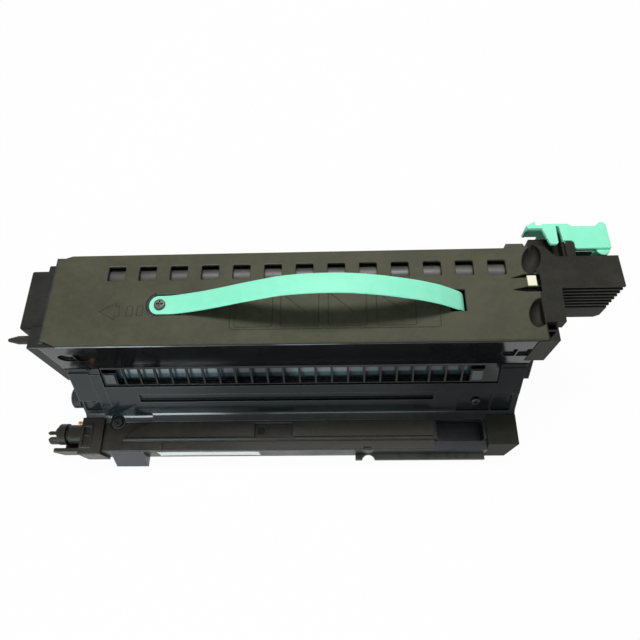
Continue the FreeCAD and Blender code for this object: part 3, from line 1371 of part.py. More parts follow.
def lever_shelf():
    """Shelf behind the grip box with the stop rib, the rounded tab and the seat of the lever's pin."""
    rear = COVER_DEPTH
    left = COVER_RIGHT + FIT
    seat = box(154.0, GRIP_RIGHT - 2.0, rear - 9.0, rear + 3.0, 88.0, 95.5)
    shelf = prism_z([
        (left, rear - 4.0),
        (172.0, rear - 4.0),
        (172.0, rear + 11.1),
        (148.9, rear + 11.1),
        (left, rear + 7.5),
    ], 90.0, COVER_Z - 8.0)
    rib = box(RIB_X0, RIB_X0 + RIB_T, rear - 9.0, rear + 12.6, 90.0, RIB_TOP_Z)
    rib = rib.cut(prism_x([(rear + 8.0, 89.0), (rear + 13.0, 89.0), (rear + 13.0, 98.0)], RIB_X0 - 1, RIB_X0 + 3))
    tab_x0 = RIB_X0 + RIB_T - 0.3
    tab = rounded_box(tab_x0, 173.8, rear - 13.0, rear + 4.1, COVER_Z - 3.0, COVER_Z, 2.2)
    riser = box(tab_x0, 173.8, rear - 9.0, rear - 6.0, 90.0, COVER_Z - 2)
    pin_hole = post(LEVER_PIVOT.x, LEVER_PIVOT.y, PIVOT_R, 90.0, 100.0)
    return cut(join([seat, shelf, rib, tab, riser]), [pin_hole])


def lever_pin():
    """Upright pin that the lever swings on."""
    return post(LEVER_PIVOT.x, LEVER_PIVOT.y, PIVOT_R, 90.0, LEVER_TOP_Z - LEVER_T - FIT)


def lock_lever():
    """Swinging latch: rimmed arm with a slit over the stop rib, a tapered tongue, a boxed hook and a hub."""
    z1 = LEVER_TOP_Z
    z0 = z1 - LEVER_T
    rear = COVER_DEPTH
    right = LEVER_PIVOT.x + 4.6
    front = LEVER_PIVOT.y + 0.1
    arm = prism_z([
        (right, front), (right, rear + 15.0), (174.8, rear + 15.2), (172.5, rear + 17.2),
        (156.6, rear + 17.4), (155.9, rear + 16.4), (152.3, rear + 16.5), (152.0, rear + 19.4),
        (146.1, rear + 16.0), (147.0, rear + 14.2), (155.8, rear + 14.2), (159.1, rear + 3.0),
        (160.0, rear + 2.2), (163.5, rear + 2.2), (164.4, rear + 3.0), (164.7, rear + 15.7),
        (166.6, rear + 15.5), (167.5, rear + 4.6), (172.8, rear + 4.5), (174.2, rear + 3.2),
        (174.2, front + 0.6), (174.9, front)], z0, z1)
    bump = post(right - 2.9, rear + 15.0, 2.9, z0, z1)
    rims = [
        box(175.0, right, front, front + 1.4, z0 - 1.5, z0 + 0.1),
        box(175.4, right - 6.4, rear + 13.4, rear + 15.0, z0 - 5.0, z0 + 0.1),
        box(146.3, 147.5, rear + 14.2, rear + 16.4, 95.8, z0 + 0.1),
        box(146.3, 172.0, rear + 15.3, rear + 16.4, 94.6, z0 + 0.1),
        box(156.5, 163.8, rear + 15.3, rear + 16.4, 90.6, 95.0),
    ]
    hub = post(LEVER_PIVOT.x, LEVER_PIVOT.y, 4.2, 95.5 + FIT, z0)
    body = join([arm, bump, hub] + rims)
    return cut(body, [post(LEVER_PIVOT.x, LEVER_PIVOT.y, PIVOT_R + RUN, 90.0, z0)])


CONTACT_R = 1.2
CONTACT_Y = -24.2
CONTACT_Z = 18.6


def contact_pin():
    """Brass contact that stands out of the lower left cap."""
    stem = Part.makeCylinder(CONTACT_R, 5.0, V(CAP_LEFT + 3.0, CONTACT_Y, CONTACT_Z), V(-1, 0, 0))
    head = Part.makeCylinder(CONTACT_R + 0.4, 1.5, V(CAP_LEFT - 2.0, CONTACT_Y, CONTACT_Z), V(-1, 0, 0))
    return join([stem, head])


PIECES = {
    "top_cover": top_cover,
    "front_frame": front_frame,
    "front_band": front_band,
    "grille_pads": grille_pads,
    "side_plate_left": side_plate_left,
    "side_plate_right": side_plate_right,
    "rear_cover": rear_cover,
    "lower_housing": lower_housing,
    "tray_cover": tray_cover,
    "toner_shutter": toner_shutter,
    "tray_cap_left": tray_cap_left,
    "coupling_guard": coupling_guard,
    "tray_foot": foot,
    "tray_block_right": tray_block_right,
    "guide_rail": guide_rail,
    "tray_screw": tray_screw,
    "wall_screw": wall_screw,
    "handle_strap": handle_strap,
    "strap_screw": strap_screw,
    "alignment_pad": alignment_pad,
    "left_end_housing": left_end_housing,
    "guide_pin_left": guide_pin_left,
    "right_end_cap": right_end_cap,
    "lever_pin": lever_pin,
    "lock_lever": lock_lever,
    "vent_tube": vent_tube,
    "drum_tube": drum_tube,
    "drum_gear_flange": drum_gear_flange,
    "drum_flange_right": drum_flange_right,
    "drum_shaft": drum_shaft,
    "drum_bush_left": drum_bush_left,
    "drum_bush_right": drum_bush_right,
    "charge_roller": charge_roller,
    "charge_roller_shaft": charge_roller_shaft,
    "charge_bearing_left": lambda: charge_bearing(INNER_LEFT, 1),
    "charge_bearing_right": lambda: charge_bearing(INNER_RIGHT, -1),
    "charge_spring_left": lambda: charge_spring(INNER_LEFT, 1),
    "charge_spring_right": lambda: charge_spring(INNER_RIGHT, -1),
    "cleaning_blade": cleaning_blade,
    "blade_holder": blade_holder,
    "blade_screws": blade_screws,
    "waste_trough": waste_trough,
    "waste_auger": waste_auger,
    "waste_auger_gear": waste_gear,
    "developer_sleeve": developer_sleeve,
    "sleeve_shaft": sleeve_shaft,
    "sleeve_gear": sleeve_gear,
    "doctor_blade": doctor_blade,
    "mixing_auger_rear": mixing_auger_rear,
    "rear_auger_gear": rear_auger_gear,
    "mixing_auger_front": mixing_auger_front,
    "front_auger_gear": front_auger_gear,
    "auger_coupling": auger_coupling,
    "contact_pin": contact_pin,
}


def main():
    os.makedirs("parts", exist_ok=True)
    for name, make in PIECES.items():
        solid = make()
        if not solid.isValid() or not solid.Solids:
            print("bad solid:", name)
        solid.exportStep("parts/%s.step" % name)


main()
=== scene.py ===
"""Printer drum unit, dressed for its picture: softened edges, moulded grain, wear and dust on every piece, the
mint strap, the bare label, the raised marks on the cover and the small trim that the solids don't have. Some
finishes carry painted light: painted highlights on front edges, painted sheen and reflection along the wall,
drum and lip, painted shade in the cover's recesses, and a dark band as a painted shadow round the strap's eye."""
import bpy
import json
import math
import numpy as np
from mathutils import Matrix, Vector


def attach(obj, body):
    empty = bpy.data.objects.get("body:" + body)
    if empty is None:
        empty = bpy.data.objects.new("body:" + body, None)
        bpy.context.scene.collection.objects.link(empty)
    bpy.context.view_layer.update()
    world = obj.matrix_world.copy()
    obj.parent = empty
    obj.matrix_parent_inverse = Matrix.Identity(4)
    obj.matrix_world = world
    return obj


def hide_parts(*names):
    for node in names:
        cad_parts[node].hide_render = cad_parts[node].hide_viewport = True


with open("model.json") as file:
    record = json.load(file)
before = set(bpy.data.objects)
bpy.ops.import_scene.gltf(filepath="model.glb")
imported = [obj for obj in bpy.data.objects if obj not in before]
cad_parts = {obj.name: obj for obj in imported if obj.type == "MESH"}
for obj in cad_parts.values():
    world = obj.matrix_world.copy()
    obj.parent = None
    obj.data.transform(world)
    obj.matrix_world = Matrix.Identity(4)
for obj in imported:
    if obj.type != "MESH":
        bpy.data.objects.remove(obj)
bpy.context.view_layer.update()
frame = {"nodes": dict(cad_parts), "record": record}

# Measures of the unit that the pieces below are set against, in millimetres
MM = 0.001
COVER_TOP = 106.0
STRAP_Y = 26.6
STRAP_W = 13.0
STRAP_T = 1.6
SUMP_FRONT_Y = -44.5
DRUM_Y, DRUM_Z = 20.0, 44.0
LEVER_X, LEVER_Y = 191.8, 61.5


# Shader groups: each puts out colours, masks, values and normals only
def link(tree, source, out, target, into):
    """Wire from an output of source to an input of target; both are named or numbered."""
    tree.links.new(source.outputs[out], target.inputs[into])


def new_group(name, inputs, outputs):
    """Shader group with inputs (label, type, default) and outputs (label, type)."""
    tree = bpy.data.node_groups.new(name, "ShaderNodeTree")
    for label, kind, default in inputs:
        socket = tree.interface.new_socket(label, in_out="INPUT", socket_type=kind)
        socket.default_value = default
    for label, kind in outputs:
        tree.interface.new_socket(label, in_out="OUTPUT", socket_type=kind)
    return tree, tree.nodes.new("NodeGroupInput"), tree.nodes.new("NodeGroupOutput")


def maths(tree, operation, *values):
    """Math node; each value is a number or a (node, output) pair."""
    node = tree.nodes.new("ShaderNodeMath")
    node.operation = operation
    for n, value in enumerate(values):
        if isinstance(value, tuple):
            link(tree, *value, node, n)
        else:
            node.inputs[n].default_value = value
    return node


def ramp(tree, source, low, high):
    """Map Range node that takes source (node, output) from low..high to 0..1, clamped and smooth."""
    node = tree.nodes.new("ShaderNodeMapRange")
    node.interpolation_type = "SMOOTHSTEP"
    node.inputs["From Min"].default_value = low
    node.inputs["From Max"].default_value = high
    link(tree, *source, node, "Value")
    return node


def one_axis(tree, source, out, axis):
    """One axis of a vector, as a (node, output) pair."""
    split = tree.nodes.new("ShaderNodeSeparateXYZ")
    link(tree, source, out, split, "Vector")
    return split, axis


def object_axis(tree, axis):
    """One axis of the Object coordinates, in metres, as a (node, output) pair."""
    return one_axis(tree, tree.nodes.new("ShaderNodeTexCoord"), "Object", axis)


def noise(tree, scale, detail, rough, stretch=(1, 1, 1)):
    """Noise texture on Object coordinates, scale in cycles a metre, stretched along an axis if wanted."""
    place = tree.nodes.new("ShaderNodeTexCoord")
    mapping = tree.nodes.new("ShaderNodeMapping")
    mapping.inputs["Scale"].default_value = stretch
    texture = tree.nodes.new("ShaderNodeTexNoise")
    texture.inputs["Scale"].default_value = scale
    texture.inputs["Detail"].default_value = detail
    texture.inputs["Roughness"].default_value = rough
    link(tree, place, "Object", mapping, "Vector")
    link(tree, mapping, "Vector", texture, "Vector")
    return texture, "Fac"


def grain_group():
    """Spark-eroded mould grain: fine pits for the bump, and slow cloudy patches for colour and gloss."""
    tree, _, out = new_group(
        "moulded grain", [], [("Height", "NodeSocketFloat"), ("Patches", "NodeSocketFloat")])
    fine = noise(tree, scale=1500.0, detail=2.0, rough=0.6)
    medium = noise(tree, scale=420.0, detail=3.0, rough=0.6)
    pits = maths(tree, "MULTIPLY_ADD", medium, 0.6, fine)
    link(tree, pits, 0, out, "Height")
    slow = noise(tree, scale=22.0, detail=3.0, rough=0.6)
    mottle = noise(tree, scale=170.0, detail=4.0, rough=0.7)
    clouds = maths(tree, "MULTIPLY_ADD", mottle, 0.8, slow)
    patches = ramp(tree, (clouds, 0), low=0.72, high=1.08)
    link(tree, patches, 0, out, "Patches")
    return tree


def edge_group():
    """Softened edges: a rounded normal, and a mask where it leaves the true one, broken up by noise. Painted
    highlight is a mask for edges that look ahead, unbroken, fading out towards the right-hand end, for a
    highlight painted in."""
    tree, into, out = new_group(
        "softened edges",
        [("Radius", "NodeSocketFloat", 0.0004)],
        [("Normal", "NodeSocketVector"), ("Worn", "NodeSocketFloat"), ("Painted highlight", "NodeSocketFloat")])
    bevel = tree.nodes.new("ShaderNodeBevel")
    bevel.samples = 6
    link(tree, into, "Radius", bevel, "Radius")
    link(tree, bevel, "Normal", out, "Normal")
    true = tree.nodes.new("ShaderNodeNewGeometry")
    dot = tree.nodes.new("ShaderNodeVectorMath")
    dot.operation = "DOT_PRODUCT"
    link(tree, bevel, "Normal", dot, 0)
    link(tree, true, "Normal", dot, 1)
    away = maths(tree, "SUBTRACT", 1.0, (dot, "Value"))
    narrow = ramp(tree, (away, 0), low=0.03, high=0.25)
    patchy = ramp(tree, noise(tree, scale=180.0, detail=4.0, rough=0.7), low=0.38, high=0.62)
    worn = maths(tree, "MULTIPLY", (narrow, 0), (patchy, 0))
    link(tree, worn, 0, out, "Worn")
    # Mask for a painted highlight: edges that look ahead, fading out towards the right-hand end
    forwards = maths(tree, "MULTIPLY", one_axis(tree, bevel, "Normal", "Y"), -1.0)
    ahead = ramp(tree, (forwards, 0), low=0.2, high=0.45)
    wide = ramp(tree, (away, 0), low=0.02, high=0.1)
    front = maths(tree, "MULTIPLY", (wide, 0), (ahead, 0))
    fade = ramp(tree, object_axis(tree, "X"), low=0.17, high=-0.09)
    painted_highlight_mask = maths(tree, "MULTIPLY", (front, 0), (fade, 0))
    link(tree, painted_highlight_mask, 0, out, "Painted highlight")
    return tree


def dust_group():
    """Dust: faces that look up gather it, in uneven drifts with small specks."""
    tree, _, out = new_group("settled dust", [], [("Dust", "NodeSocketFloat")])
    true = tree.nodes.new("ShaderNodeNewGeometry")
    up = ramp(tree, one_axis(tree, true, "Normal", "Z"), low=0.35, high=1.0)
    drift = ramp(tree, noise(tree, scale=42.0, detail=6.0, rough=0.68), low=0.42, high=0.78)
    speck = ramp(tree, noise(tree, scale=900.0, detail=1.0, rough=0.5), low=0.66, high=0.74)
    both = maths(tree, "MAXIMUM", (drift, 0), (speck, 0))
    dust = maths(tree, "MULTIPLY", (both, 0), (up, 0))
    link(tree, dust, 0, out, "Dust")
    return tree


def rub_group():
    """Rub marks: long thin noise along the unit, as handling and sliding leave it."""
    tree, _, out = new_group("rub marks", [], [("Rub", "NodeSocketFloat")])
    lines = noise(tree, scale=220.0, detail=4.0, rough=0.75, stretch=(0.05, 1.0, 1.0))
    rub = ramp(tree, lines, low=0.56, high=0.7)
    link(tree, rub, 0, out, "Rub")
    return tree


def gloss_and_sheen_group(name, stops):
    """Gloss along the unit, which also paints sheen into the colour: a value between stops (x in metres,
    value), joined by smooth steps whose places wander with slow noise."""
    wander = 0.016
    tree, _, out = new_group(name, [], [("Gloss and sheen", "NodeSocketFloat")])
    waves = noise(tree, scale=30.0, detail=3.0, rough=0.6)
    x = maths(tree, "MULTIPLY_ADD", waves, wander, object_axis(tree, "X"))
    level = maths(tree, "ADD", stops[0][1], 0.0)
    for (x0, first), (x1, second) in zip(stops, stops[1:]):
        step = ramp(tree, (x, 0), low=x0 + wander / 2, high=x1 + wander / 2)
        level = maths(tree, "MULTIPLY_ADD", (step, 0), second - first, (level, 0))
    link(tree, level, 0, out, "Gloss and sheen")
    return tree


def recess_shade_group():
    """Painted shade in the recesses under the cover's top face: a mask that goes from 0 at the face to 1
    two millimetres down.
    """
    tree, _, out = new_group("painted recess shade", [], [("Painted shade", "NodeSocketFloat")])
    recess_shade = ramp(tree, object_axis(tree, "Z"), low=(COVER_TOP - 0.1) * MM, high=(COVER_TOP - 2.1) * MM)
    link(tree, recess_shade, 0, out, "Painted shade")
    return tree


GRAIN = grain_group()
EDGES = edge_group()
DUST = dust_group()
RUBS = rub_group()
RECESS_SHADE = recess_shade_group()
# Painted sheen on the wall: its colour paler and bluer towards the left, its coat glossier there
WALL_GLOSS_AND_SHEEN = gloss_and_sheen_group("wall gloss and painted sheen", ((-0.1, 1.0), (-0.04, 0.45), (0.05, 0.38), (0.1, 0.12)))
# Painted reflection on the drum: its colour paled and blued in bands along it, where lamps would show in the
# windows
DRUM_GLOSS_AND_REFLECTION = gloss_and_sheen_group("drum gloss and painted reflection", (
    (-0.138, 0.0), (-0.134, 1.0), (-0.062, 1.0), (-0.05, 0.12), (-0.014, 0.12),
    (-0.004, 0.85), (0.026, 0.85), (0.034, 0.45), (0.045, 0.42), (0.052, 0.1)))
# Painted highlight on the lip: its colour paled in patches, mostly towards the left end
LIP_GLOSS_AND_HIGHLIGHT = gloss_and_sheen_group("lip gloss and painted highlight", (
    (-0.13, 0.7), (-0.112, 1.0), (-0.09, 0.8), (-0.072, 0.08), (-0.02, 0.05),
    (-0.004, 0.4), (0.014, 0.35), (0.034, 0.03)))


def placed(tree, group):
    """Group node in a material's tree."""
    node = tree.nodes.new("ShaderNodeGroup")
    node.node_tree = group
    return node


def blend(tree, factor, first, second, amount=1.0):
    """Mix Color node: factor (node, output) times amount goes from first to second, each a colour or such a
    node."""
    mix = tree.nodes.new("ShaderNodeMix")
    mix.data_type = "RGBA"
    scaled = maths(tree, "MULTIPLY", factor, amount)
    tree.links.new(scaled.outputs[0], mix.inputs[0])
    for socket, value in ((mix.inputs[6], first), (mix.inputs[7], second)):
        if hasattr(value, "outputs"):
            tree.links.new(value.outputs[2], socket)
        else:
            socket.default_value = (*value, 1.0)
    return mix


COAT_ROUGHNESS = 0.12
# Colour of the painted highlight on front-facing edges
PAINTED_HIGHLIGHT_COLOUR = (0.5, 0.6, 0.62)
# Colour of the painted shade in the cover's recesses
RECESS_SHADE_COLOUR = (0.008, 0.008, 0.006)
DUST_DULLS = 0.3


def finish_material(name, colour, patch, rough, rough_patch=0.08, grain=0.15, dusty=0.1,
                    dust_colour=(0.3, 0.29, 0.25), worn=0.3, worn_colour=(0.2, 0.2, 0.19), rub=0.0,
                    metallic=0.0, specular=0.5, coat=0.0, radius=0.0004, grain_depth=0.00003,
                    painted_edge_highlight=0.0, gloss_and_sheen=None, painted_sheen_colour=None, recess_shade=0.0):
    """Solid finish: colour clouded towards patch, paler worn edges, dust on top, grain as bump. The painted
    edge highlight pales the edges that face the front, gloss and sheen varies the coat's gloss along the unit
    and paints sheen into the colour there, and recess shade paints shade into the cover's recesses."""
    material = bpy.data.materials.new(name)
    material.use_nodes = True
    tree = material.node_tree
    shader = tree.nodes["Principled BSDF"]
    shader.inputs["Metallic"].default_value = metallic
    shader.inputs["Specular IOR Level"].default_value = specular
    shader.inputs["Coat Weight"].default_value = coat
    shader.inputs["Coat Roughness"].default_value = COAT_ROUGHNESS
    grained = placed(tree, GRAIN)
    edges = placed(tree, EDGES)
    edges.inputs["Radius"].default_value = radius
    dust = placed(tree, DUST)
    tint = blend(tree, (grained, "Patches"), colour, patch)
    # Gloss along the unit on the coat, and painted sheen blended into the colour by the same value
    if gloss_and_sheen:
        along = placed(tree, gloss_and_sheen)
        tint = blend(tree, (along, "Gloss and sheen"), tint, painted_sheen_colour)
        gloss = maths(tree, "MULTIPLY", (along, "Gloss and sheen"), coat)
        link(tree, gloss, 0, shader, "Coat Weight")
    if rub:
        tint = blend(tree, (placed(tree, RUBS), "Rub"), tint, worn_colour, rub)
    tint = blend(tree, (edges, "Worn"), tint, worn_colour, worn)
    # Painted highlight: front-facing edges paled
    if painted_edge_highlight:
        tint = blend(tree, (edges, "Painted highlight"), tint, PAINTED_HIGHLIGHT_COLOUR, painted_edge_highlight)
    # Painted shade: the cover darkened below its top face, in slots, scoops and pockets
    if recess_shade:
        tint = blend(tree, (placed(tree, RECESS_SHADE), "Painted shade"), tint, RECESS_SHADE_COLOUR, recess_shade)
    tint = blend(tree, (dust, "Dust"), tint, dust_colour, dusty)
    link(tree, tint, 2, shader, "Base Color")
    uneven = maths(tree, "MULTIPLY_ADD", (grained, "Patches"), rough_patch, rough)
    dulled = maths(tree, "MULTIPLY_ADD", (dust, "Dust"), DUST_DULLS * dusty, (uneven, 0))
    link(tree, dulled, 0, shader, "Roughness")
    bump = tree.nodes.new("ShaderNodeBump")
    bump.inputs["Strength"].default_value = grain
    bump.inputs["Distance"].default_value = grain_depth
    link(tree, grained, "Height", bump, "Height")
    link(tree, edges, "Normal", bump, "Normal")
    link(tree, bump, "Normal", shader, "Normal")
    return material


# painted_edge_highlight paints a highlight on a finish's front-facing edges
FINISHES = {
    # Cover: painted shade in its recesses and scoops, and painted highlight on its front edges
    "cover_black": finish_material(
        "olive black cover", (0.048, 0.05, 0.029), (0.07, 0.068, 0.042), 0.56, 0.08, grain=0.55,
        dusty=0.05, worn=0.1, specular=0.18, radius=0.0012, painted_edge_highlight=0.35, recess_shade=0.85),
    # Wall: painted sheen along it, and painted highlight on its front edges
    "frame_black": finish_material(
        "semi gloss black wall", (0.004, 0.004, 0.004), (0.008, 0.009, 0.009), 0.15, 0.08, grain=0.08,
        dusty=0.04, worn=0.1, specular=0.08, coat=0.6, rub=0.03, radius=0.001, painted_edge_highlight=0.25,
        gloss_and_sheen=WALL_GLOSS_AND_SHEEN, painted_sheen_colour=(0.012, 0.018, 0.02)),
    "band_gloss": finish_material(
        "glossy black band", (0.004, 0.004, 0.0045), (0.006, 0.006, 0.007), 0.1, 0.05, grain=0.03,
        dusty=0.02, worn=0.2, worn_colour=(0.06, 0.065, 0.07), specular=0.3),
    "pad_grey": finish_material(
        "slate pad", (0.03, 0.037, 0.04), (0.045, 0.052, 0.056), 0.4, 0.1, grain=0.2, dusty=0.05,
        worn=0.2),
    "tube_grey": finish_material(
        "satin grey tube", (0.055, 0.057, 0.05), (0.07, 0.072, 0.064), 0.36, 0.1, grain=0.2, dusty=0.1,
        worn=0.2, specular=0.4),
    "screw_black": finish_material(
        "blackened steel", (0.012, 0.012, 0.012), (0.03, 0.03, 0.03), 0.3, 0.12, grain=0.1, dusty=0.06,
        worn=0.4, worn_colour=(0.15, 0.15, 0.14), metallic=0.6),
    "tray_black": finish_material(
        "satin black tray", (0.017, 0.0155, 0.011), (0.028, 0.026, 0.018), 0.3, 0.12, grain=0.2,
        dusty=0.05, worn=0.1, specular=0.2, rub=0.03, radius=0.0008, painted_edge_highlight=0.2),
    "grip_black": finish_material(
        "matte black grip", (0.0135, 0.013, 0.0095), (0.021, 0.0205, 0.0155), 0.5, 0.1, grain=0.5,
        dusty=0.06, worn=0.25, specular=0.1),
    "mint_green": finish_material(
        "satin mint", (0.28, 0.9, 0.62), (0.32, 0.94, 0.67), 0.42, 0.08, grain=0.2, dusty=0.03,
        worn=0.15, worn_colour=(0.5, 0.95, 0.78), specular=0.18),
    "pad_white": finish_material(
        "off white pad", (0.86, 0.84, 0.62), (0.92, 0.9, 0.7), 0.55, grain=0.3, dusty=0.05, worn=0.1,
        worn_colour=(0.6, 0.55, 0.4), specular=0.3),
    "screw_steel": finish_material(
        "dark plated steel", (0.05, 0.05, 0.045), (0.09, 0.09, 0.08), 0.34, 0.15, grain=0.1, dusty=0.05,
        worn=0.4, worn_colour=(0.3, 0.3, 0.28), rub=0.1, metallic=0.8),
    "shaft_steel": finish_material(
        "ground steel", (0.5, 0.5, 0.5), (0.6, 0.6, 0.6), 0.22, 0.1, grain=0.1, dusty=0.02, worn=0.3,
        worn_colour=(0.7, 0.7, 0.7), rub=0.4, metallic=1.0),
    # Drum: painted reflection in bands along it
    "drum_coat": finish_material(
        "photoconductor coat", (0.012, 0.018, 0.02), (0.018, 0.025, 0.028), 0.16, 0.06, grain=0.03,
        dusty=0.02, worn=0.1, specular=0.5, coat=1.0, rub=0.02, gloss_and_sheen=DRUM_GLOSS_AND_REFLECTION,
        painted_sheen_colour=(0.09, 0.14, 0.155)),
    "sleeve_alu": finish_material(
        "blasted aluminium", (0.24, 0.24, 0.25), (0.3, 0.3, 0.31), 0.4, 0.1, grain=0.4, dusty=0.05,
        worn=0.3, worn_colour=(0.5, 0.5, 0.5), rub=0.3, metallic=1.0),
    "roller_rubber": finish_material(
        "conductive rubber", (0.03, 0.03, 0.03), (0.045, 0.045, 0.045), 0.7, 0.1, grain=0.3, dusty=0.12,
        worn=0.1, specular=0.3),
    "gear_white": finish_material(
        "natural acetal", (0.62, 0.61, 0.57), (0.7, 0.69, 0.65), 0.4, 0.1, grain=0.15, dusty=0.15,
        dust_colour=(0.08, 0.08, 0.08), worn=0.1, worn_colour=(0.8, 0.8, 0.76)),
    "auger_grey": finish_material(
        "grey auger plastic", (0.13, 0.13, 0.14), (0.18, 0.18, 0.19), 0.45, 0.1, grain=0.2, dusty=0.3,
        dust_colour=(0.02, 0.02, 0.02), worn=0.2),
    "contact_brass": finish_material(
        "bare brass", (0.4, 0.25, 0.1), (0.5, 0.32, 0.14), 0.4, 0.15, grain=0.1, dusty=0.1, worn=0.3,
        worn_colour=(0.7, 0.55, 0.3), metallic=1.0),
}
# Lip: dark, with a pale bluish painted highlight laid along it
LIP_HIGHLIGHT_FINISH = finish_material(
    "lip with painted highlight", (0.004, 0.004, 0.0045), (0.006, 0.006, 0.007), 0.15, 0.05, grain=0.02, dusty=0.02,
    worn=0.0, specular=0.4, gloss_and_sheen=LIP_GLOSS_AND_HIGHLIGHT, painted_sheen_colour=(0.5, 0.58, 0.6))
# Foot: a paler, bluer copy of the tray's black as painted sheen from the front lamps, with painted highlight
# on its front edges
FOOT_SHEEN_FINISH = finish_material(
    "tray black foot with painted sheen", (0.03, 0.033, 0.038), (0.042, 0.046, 0.052), 0.34, 0.1, grain=0.3, dusty=0.05,
    worn=0.1, specular=0.5, radius=0.0008, painted_edge_highlight=0.4)
# End housing: painted highlight on its front edges
HOUSING_FINISH = finish_material(
    "olive black end housing", (0.014, 0.0145, 0.012), (0.021, 0.0215, 0.018), 0.45, 0.08, grain=0.5,
    dusty=0.05, worn=0.25, specular=0.12, radius=0.0008, painted_edge_highlight=0.5)
# Sump: painted highlight on its front edges
SUMP_FINISH = finish_material(
    "blue black sump", (0.006, 0.0065, 0.009), (0.01, 0.011, 0.015), 0.34, 0.1, grain=0.2, dusty=0.05,
    worn=0.1, specular=0.25, radius=0.0008, painted_edge_highlight=0.2)
MARK_FINISH = finish_material(
    "dark moulded line", (0.03, 0.031, 0.02), (0.038, 0.038, 0.025), 0.5, 0.08, grain=0.3, dusty=0.05,
    worn=0.1, specular=0.15)
LABEL_FINISH = finish_material(
    "bare label", (0.66, 0.66, 0.64), (0.72, 0.72, 0.71), 0.45, 0.1, grain=0.1, dusty=0.03, worn=0.2,
    worn_colour=(0.5, 0.48, 0.42))

# Solids whose finish is not the one of their slot
NODE_FINISHES = {
    "left_end_housing": HOUSING_FINISH,
    "lower_housing": SUMP_FINISH,
    "tray_foot": FOOT_SHEEN_FINISH,
    "tray_block_right": FINISHES["grip_black"],
}

MERGE_DISTANCE = 0.00001
SMOOTH_BELOW = math.radians(32)


def smooth_round_faces():
    """Geometry modifier: joins the loose triangles and shades smooth where faces meet at a small angle."""
    tree = bpy.data.node_groups.new("smooth round faces", "GeometryNodeTree")
    tree.interface.new_socket("Geometry", in_out="INPUT", socket_type="NodeSocketGeometry")
    tree.interface.new_socket("Geometry", in_out="OUTPUT", socket_type="NodeSocketGeometry")
    source = tree.nodes.new("NodeGroupInput")
    target = tree.nodes.new("NodeGroupOutput")
    merge = tree.nodes.new("GeometryNodeMergeByDistance")
    merge.inputs["Distance"].default_value = MERGE_DISTANCE
    angle = tree.nodes.new("GeometryNodeInputMeshEdgeAngle")
    shallow = tree.nodes.new("FunctionNodeCompare")
    shallow.operation = "LESS_THAN"
    shallow.inputs[1].default_value = SMOOTH_BELOW
    faces = tree.nodes.new("GeometryNodeSetShadeSmooth")
    faces.domain = "FACE"
    edges = tree.nodes.new("GeometryNodeSetShadeSmooth")
    edges.domain = "EDGE"
    link(tree, source, 0, merge, "Geometry")
    link(tree, merge, 0, faces, "Geometry")
    link(tree, faces, 0, edges, "Geometry")
    link(tree, angle, "Unsigned Angle", shallow, 0)
    link(tree, shallow, 0, edges, "Shade Smooth")
    link(tree, edges, 0, target, 0)
    return tree


ROUND = smooth_round_faces()
SLOT_OF = {s["node"]: s["material_slot"] for s in frame["record"]["subparts"]}

for node, piece in frame["nodes"].items():
    piece.data.materials.clear()
    piece.data.materials.append(NODE_FINISHES.get(node, FINISHES[SLOT_OF[node]]))
    shade = piece.modifiers.new("smooth round faces", "NODES")
    shade.node_group = ROUND


# New pieces: grids of points in millimetres, worked out with numpy
def mesh_piece(name, points, faces, material, body, smooth=True):
    """Mesh object from points in millimetres and its faces, riding on a body of the model."""
    mesh = bpy.data.meshes.new(name)
    mesh.from_pydata((np.asarray(points) * MM).tolist(), [], [tuple(int(i) for i in f) for f in faces])
    mesh.polygons.foreach_set("use_smooth", np.full(len(mesh.polygons), smooth))
    mesh.update()
    piece = bpy.data.objects.new(name, mesh)
    bpy.context.scene.collection.objects.link(piece)
    piece.data.materials.append(material)
    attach(piece, body)
    return piece


def tube_faces(rings, around, first=0):
    """Quads of a grid of rings that closes round each ring, with a face over each end."""
    i, j = np.meshgrid(np.arange(rings - 1), np.arange(around), indexing="ij")
    k = (j + 1) % around
    quads = np.stack([i * around + j, (i + 1) * around + j, (i + 1) * around + k, i * around + k], -1)
    near_end = np.arange(around)
    far_end = near_end[::-1] + (rings - 1) * around
    return (quads.reshape(-1, 4) + first).tolist() + [(near_end + first).tolist(), (far_end + first).tolist()]


def turns(count):
    """Angles evenly round a circle, the last one short of the first."""
    return np.linspace(0, 2 * np.pi, count, endpoint=False)


def soft_square(angle, across_power, through_power):
    """Square of half width 1 with its corners rounded: cosine and sine raised to small powers, signs kept."""
    c, s = np.cos(angle), np.sin(angle)
    return np.sign(c) * np.abs(c) ** across_power, np.sign(s) * np.abs(s) ** through_power


def smooth_curve(points, count):
    """Catmull-Rom curve through the points: a cubic blend of four neighbours, sampled evenly by chord
    length. Returns its points and their distances along it."""
    p = np.asarray(points, float)
    p = np.vstack([2 * p[0] - p[1], p, 2 * p[-1] - p[-2]])
    t = np.linspace(0, len(p) - 3 - 1e-9, count * 8)
    i = t.astype(int)
    u = (t - i)[:, None]
    a, b, c, d = p[i], p[i + 1], p[i + 2], p[i + 3]
    fine = 0.5 * (2 * b + (c - a) * u + (2 * a - 5 * b + 4 * c - d) * u**2 + (3 * b - a - 3 * c + d) * u**3)
    length = np.concatenate([[0], np.cumsum(np.linalg.norm(np.diff(fine, axis=0), axis=1))])
    even = np.linspace(0, length[-1], count)
    return np.stack([np.interp(even, length, fine[:, k]) for k in range(fine.shape[1])], -1), even


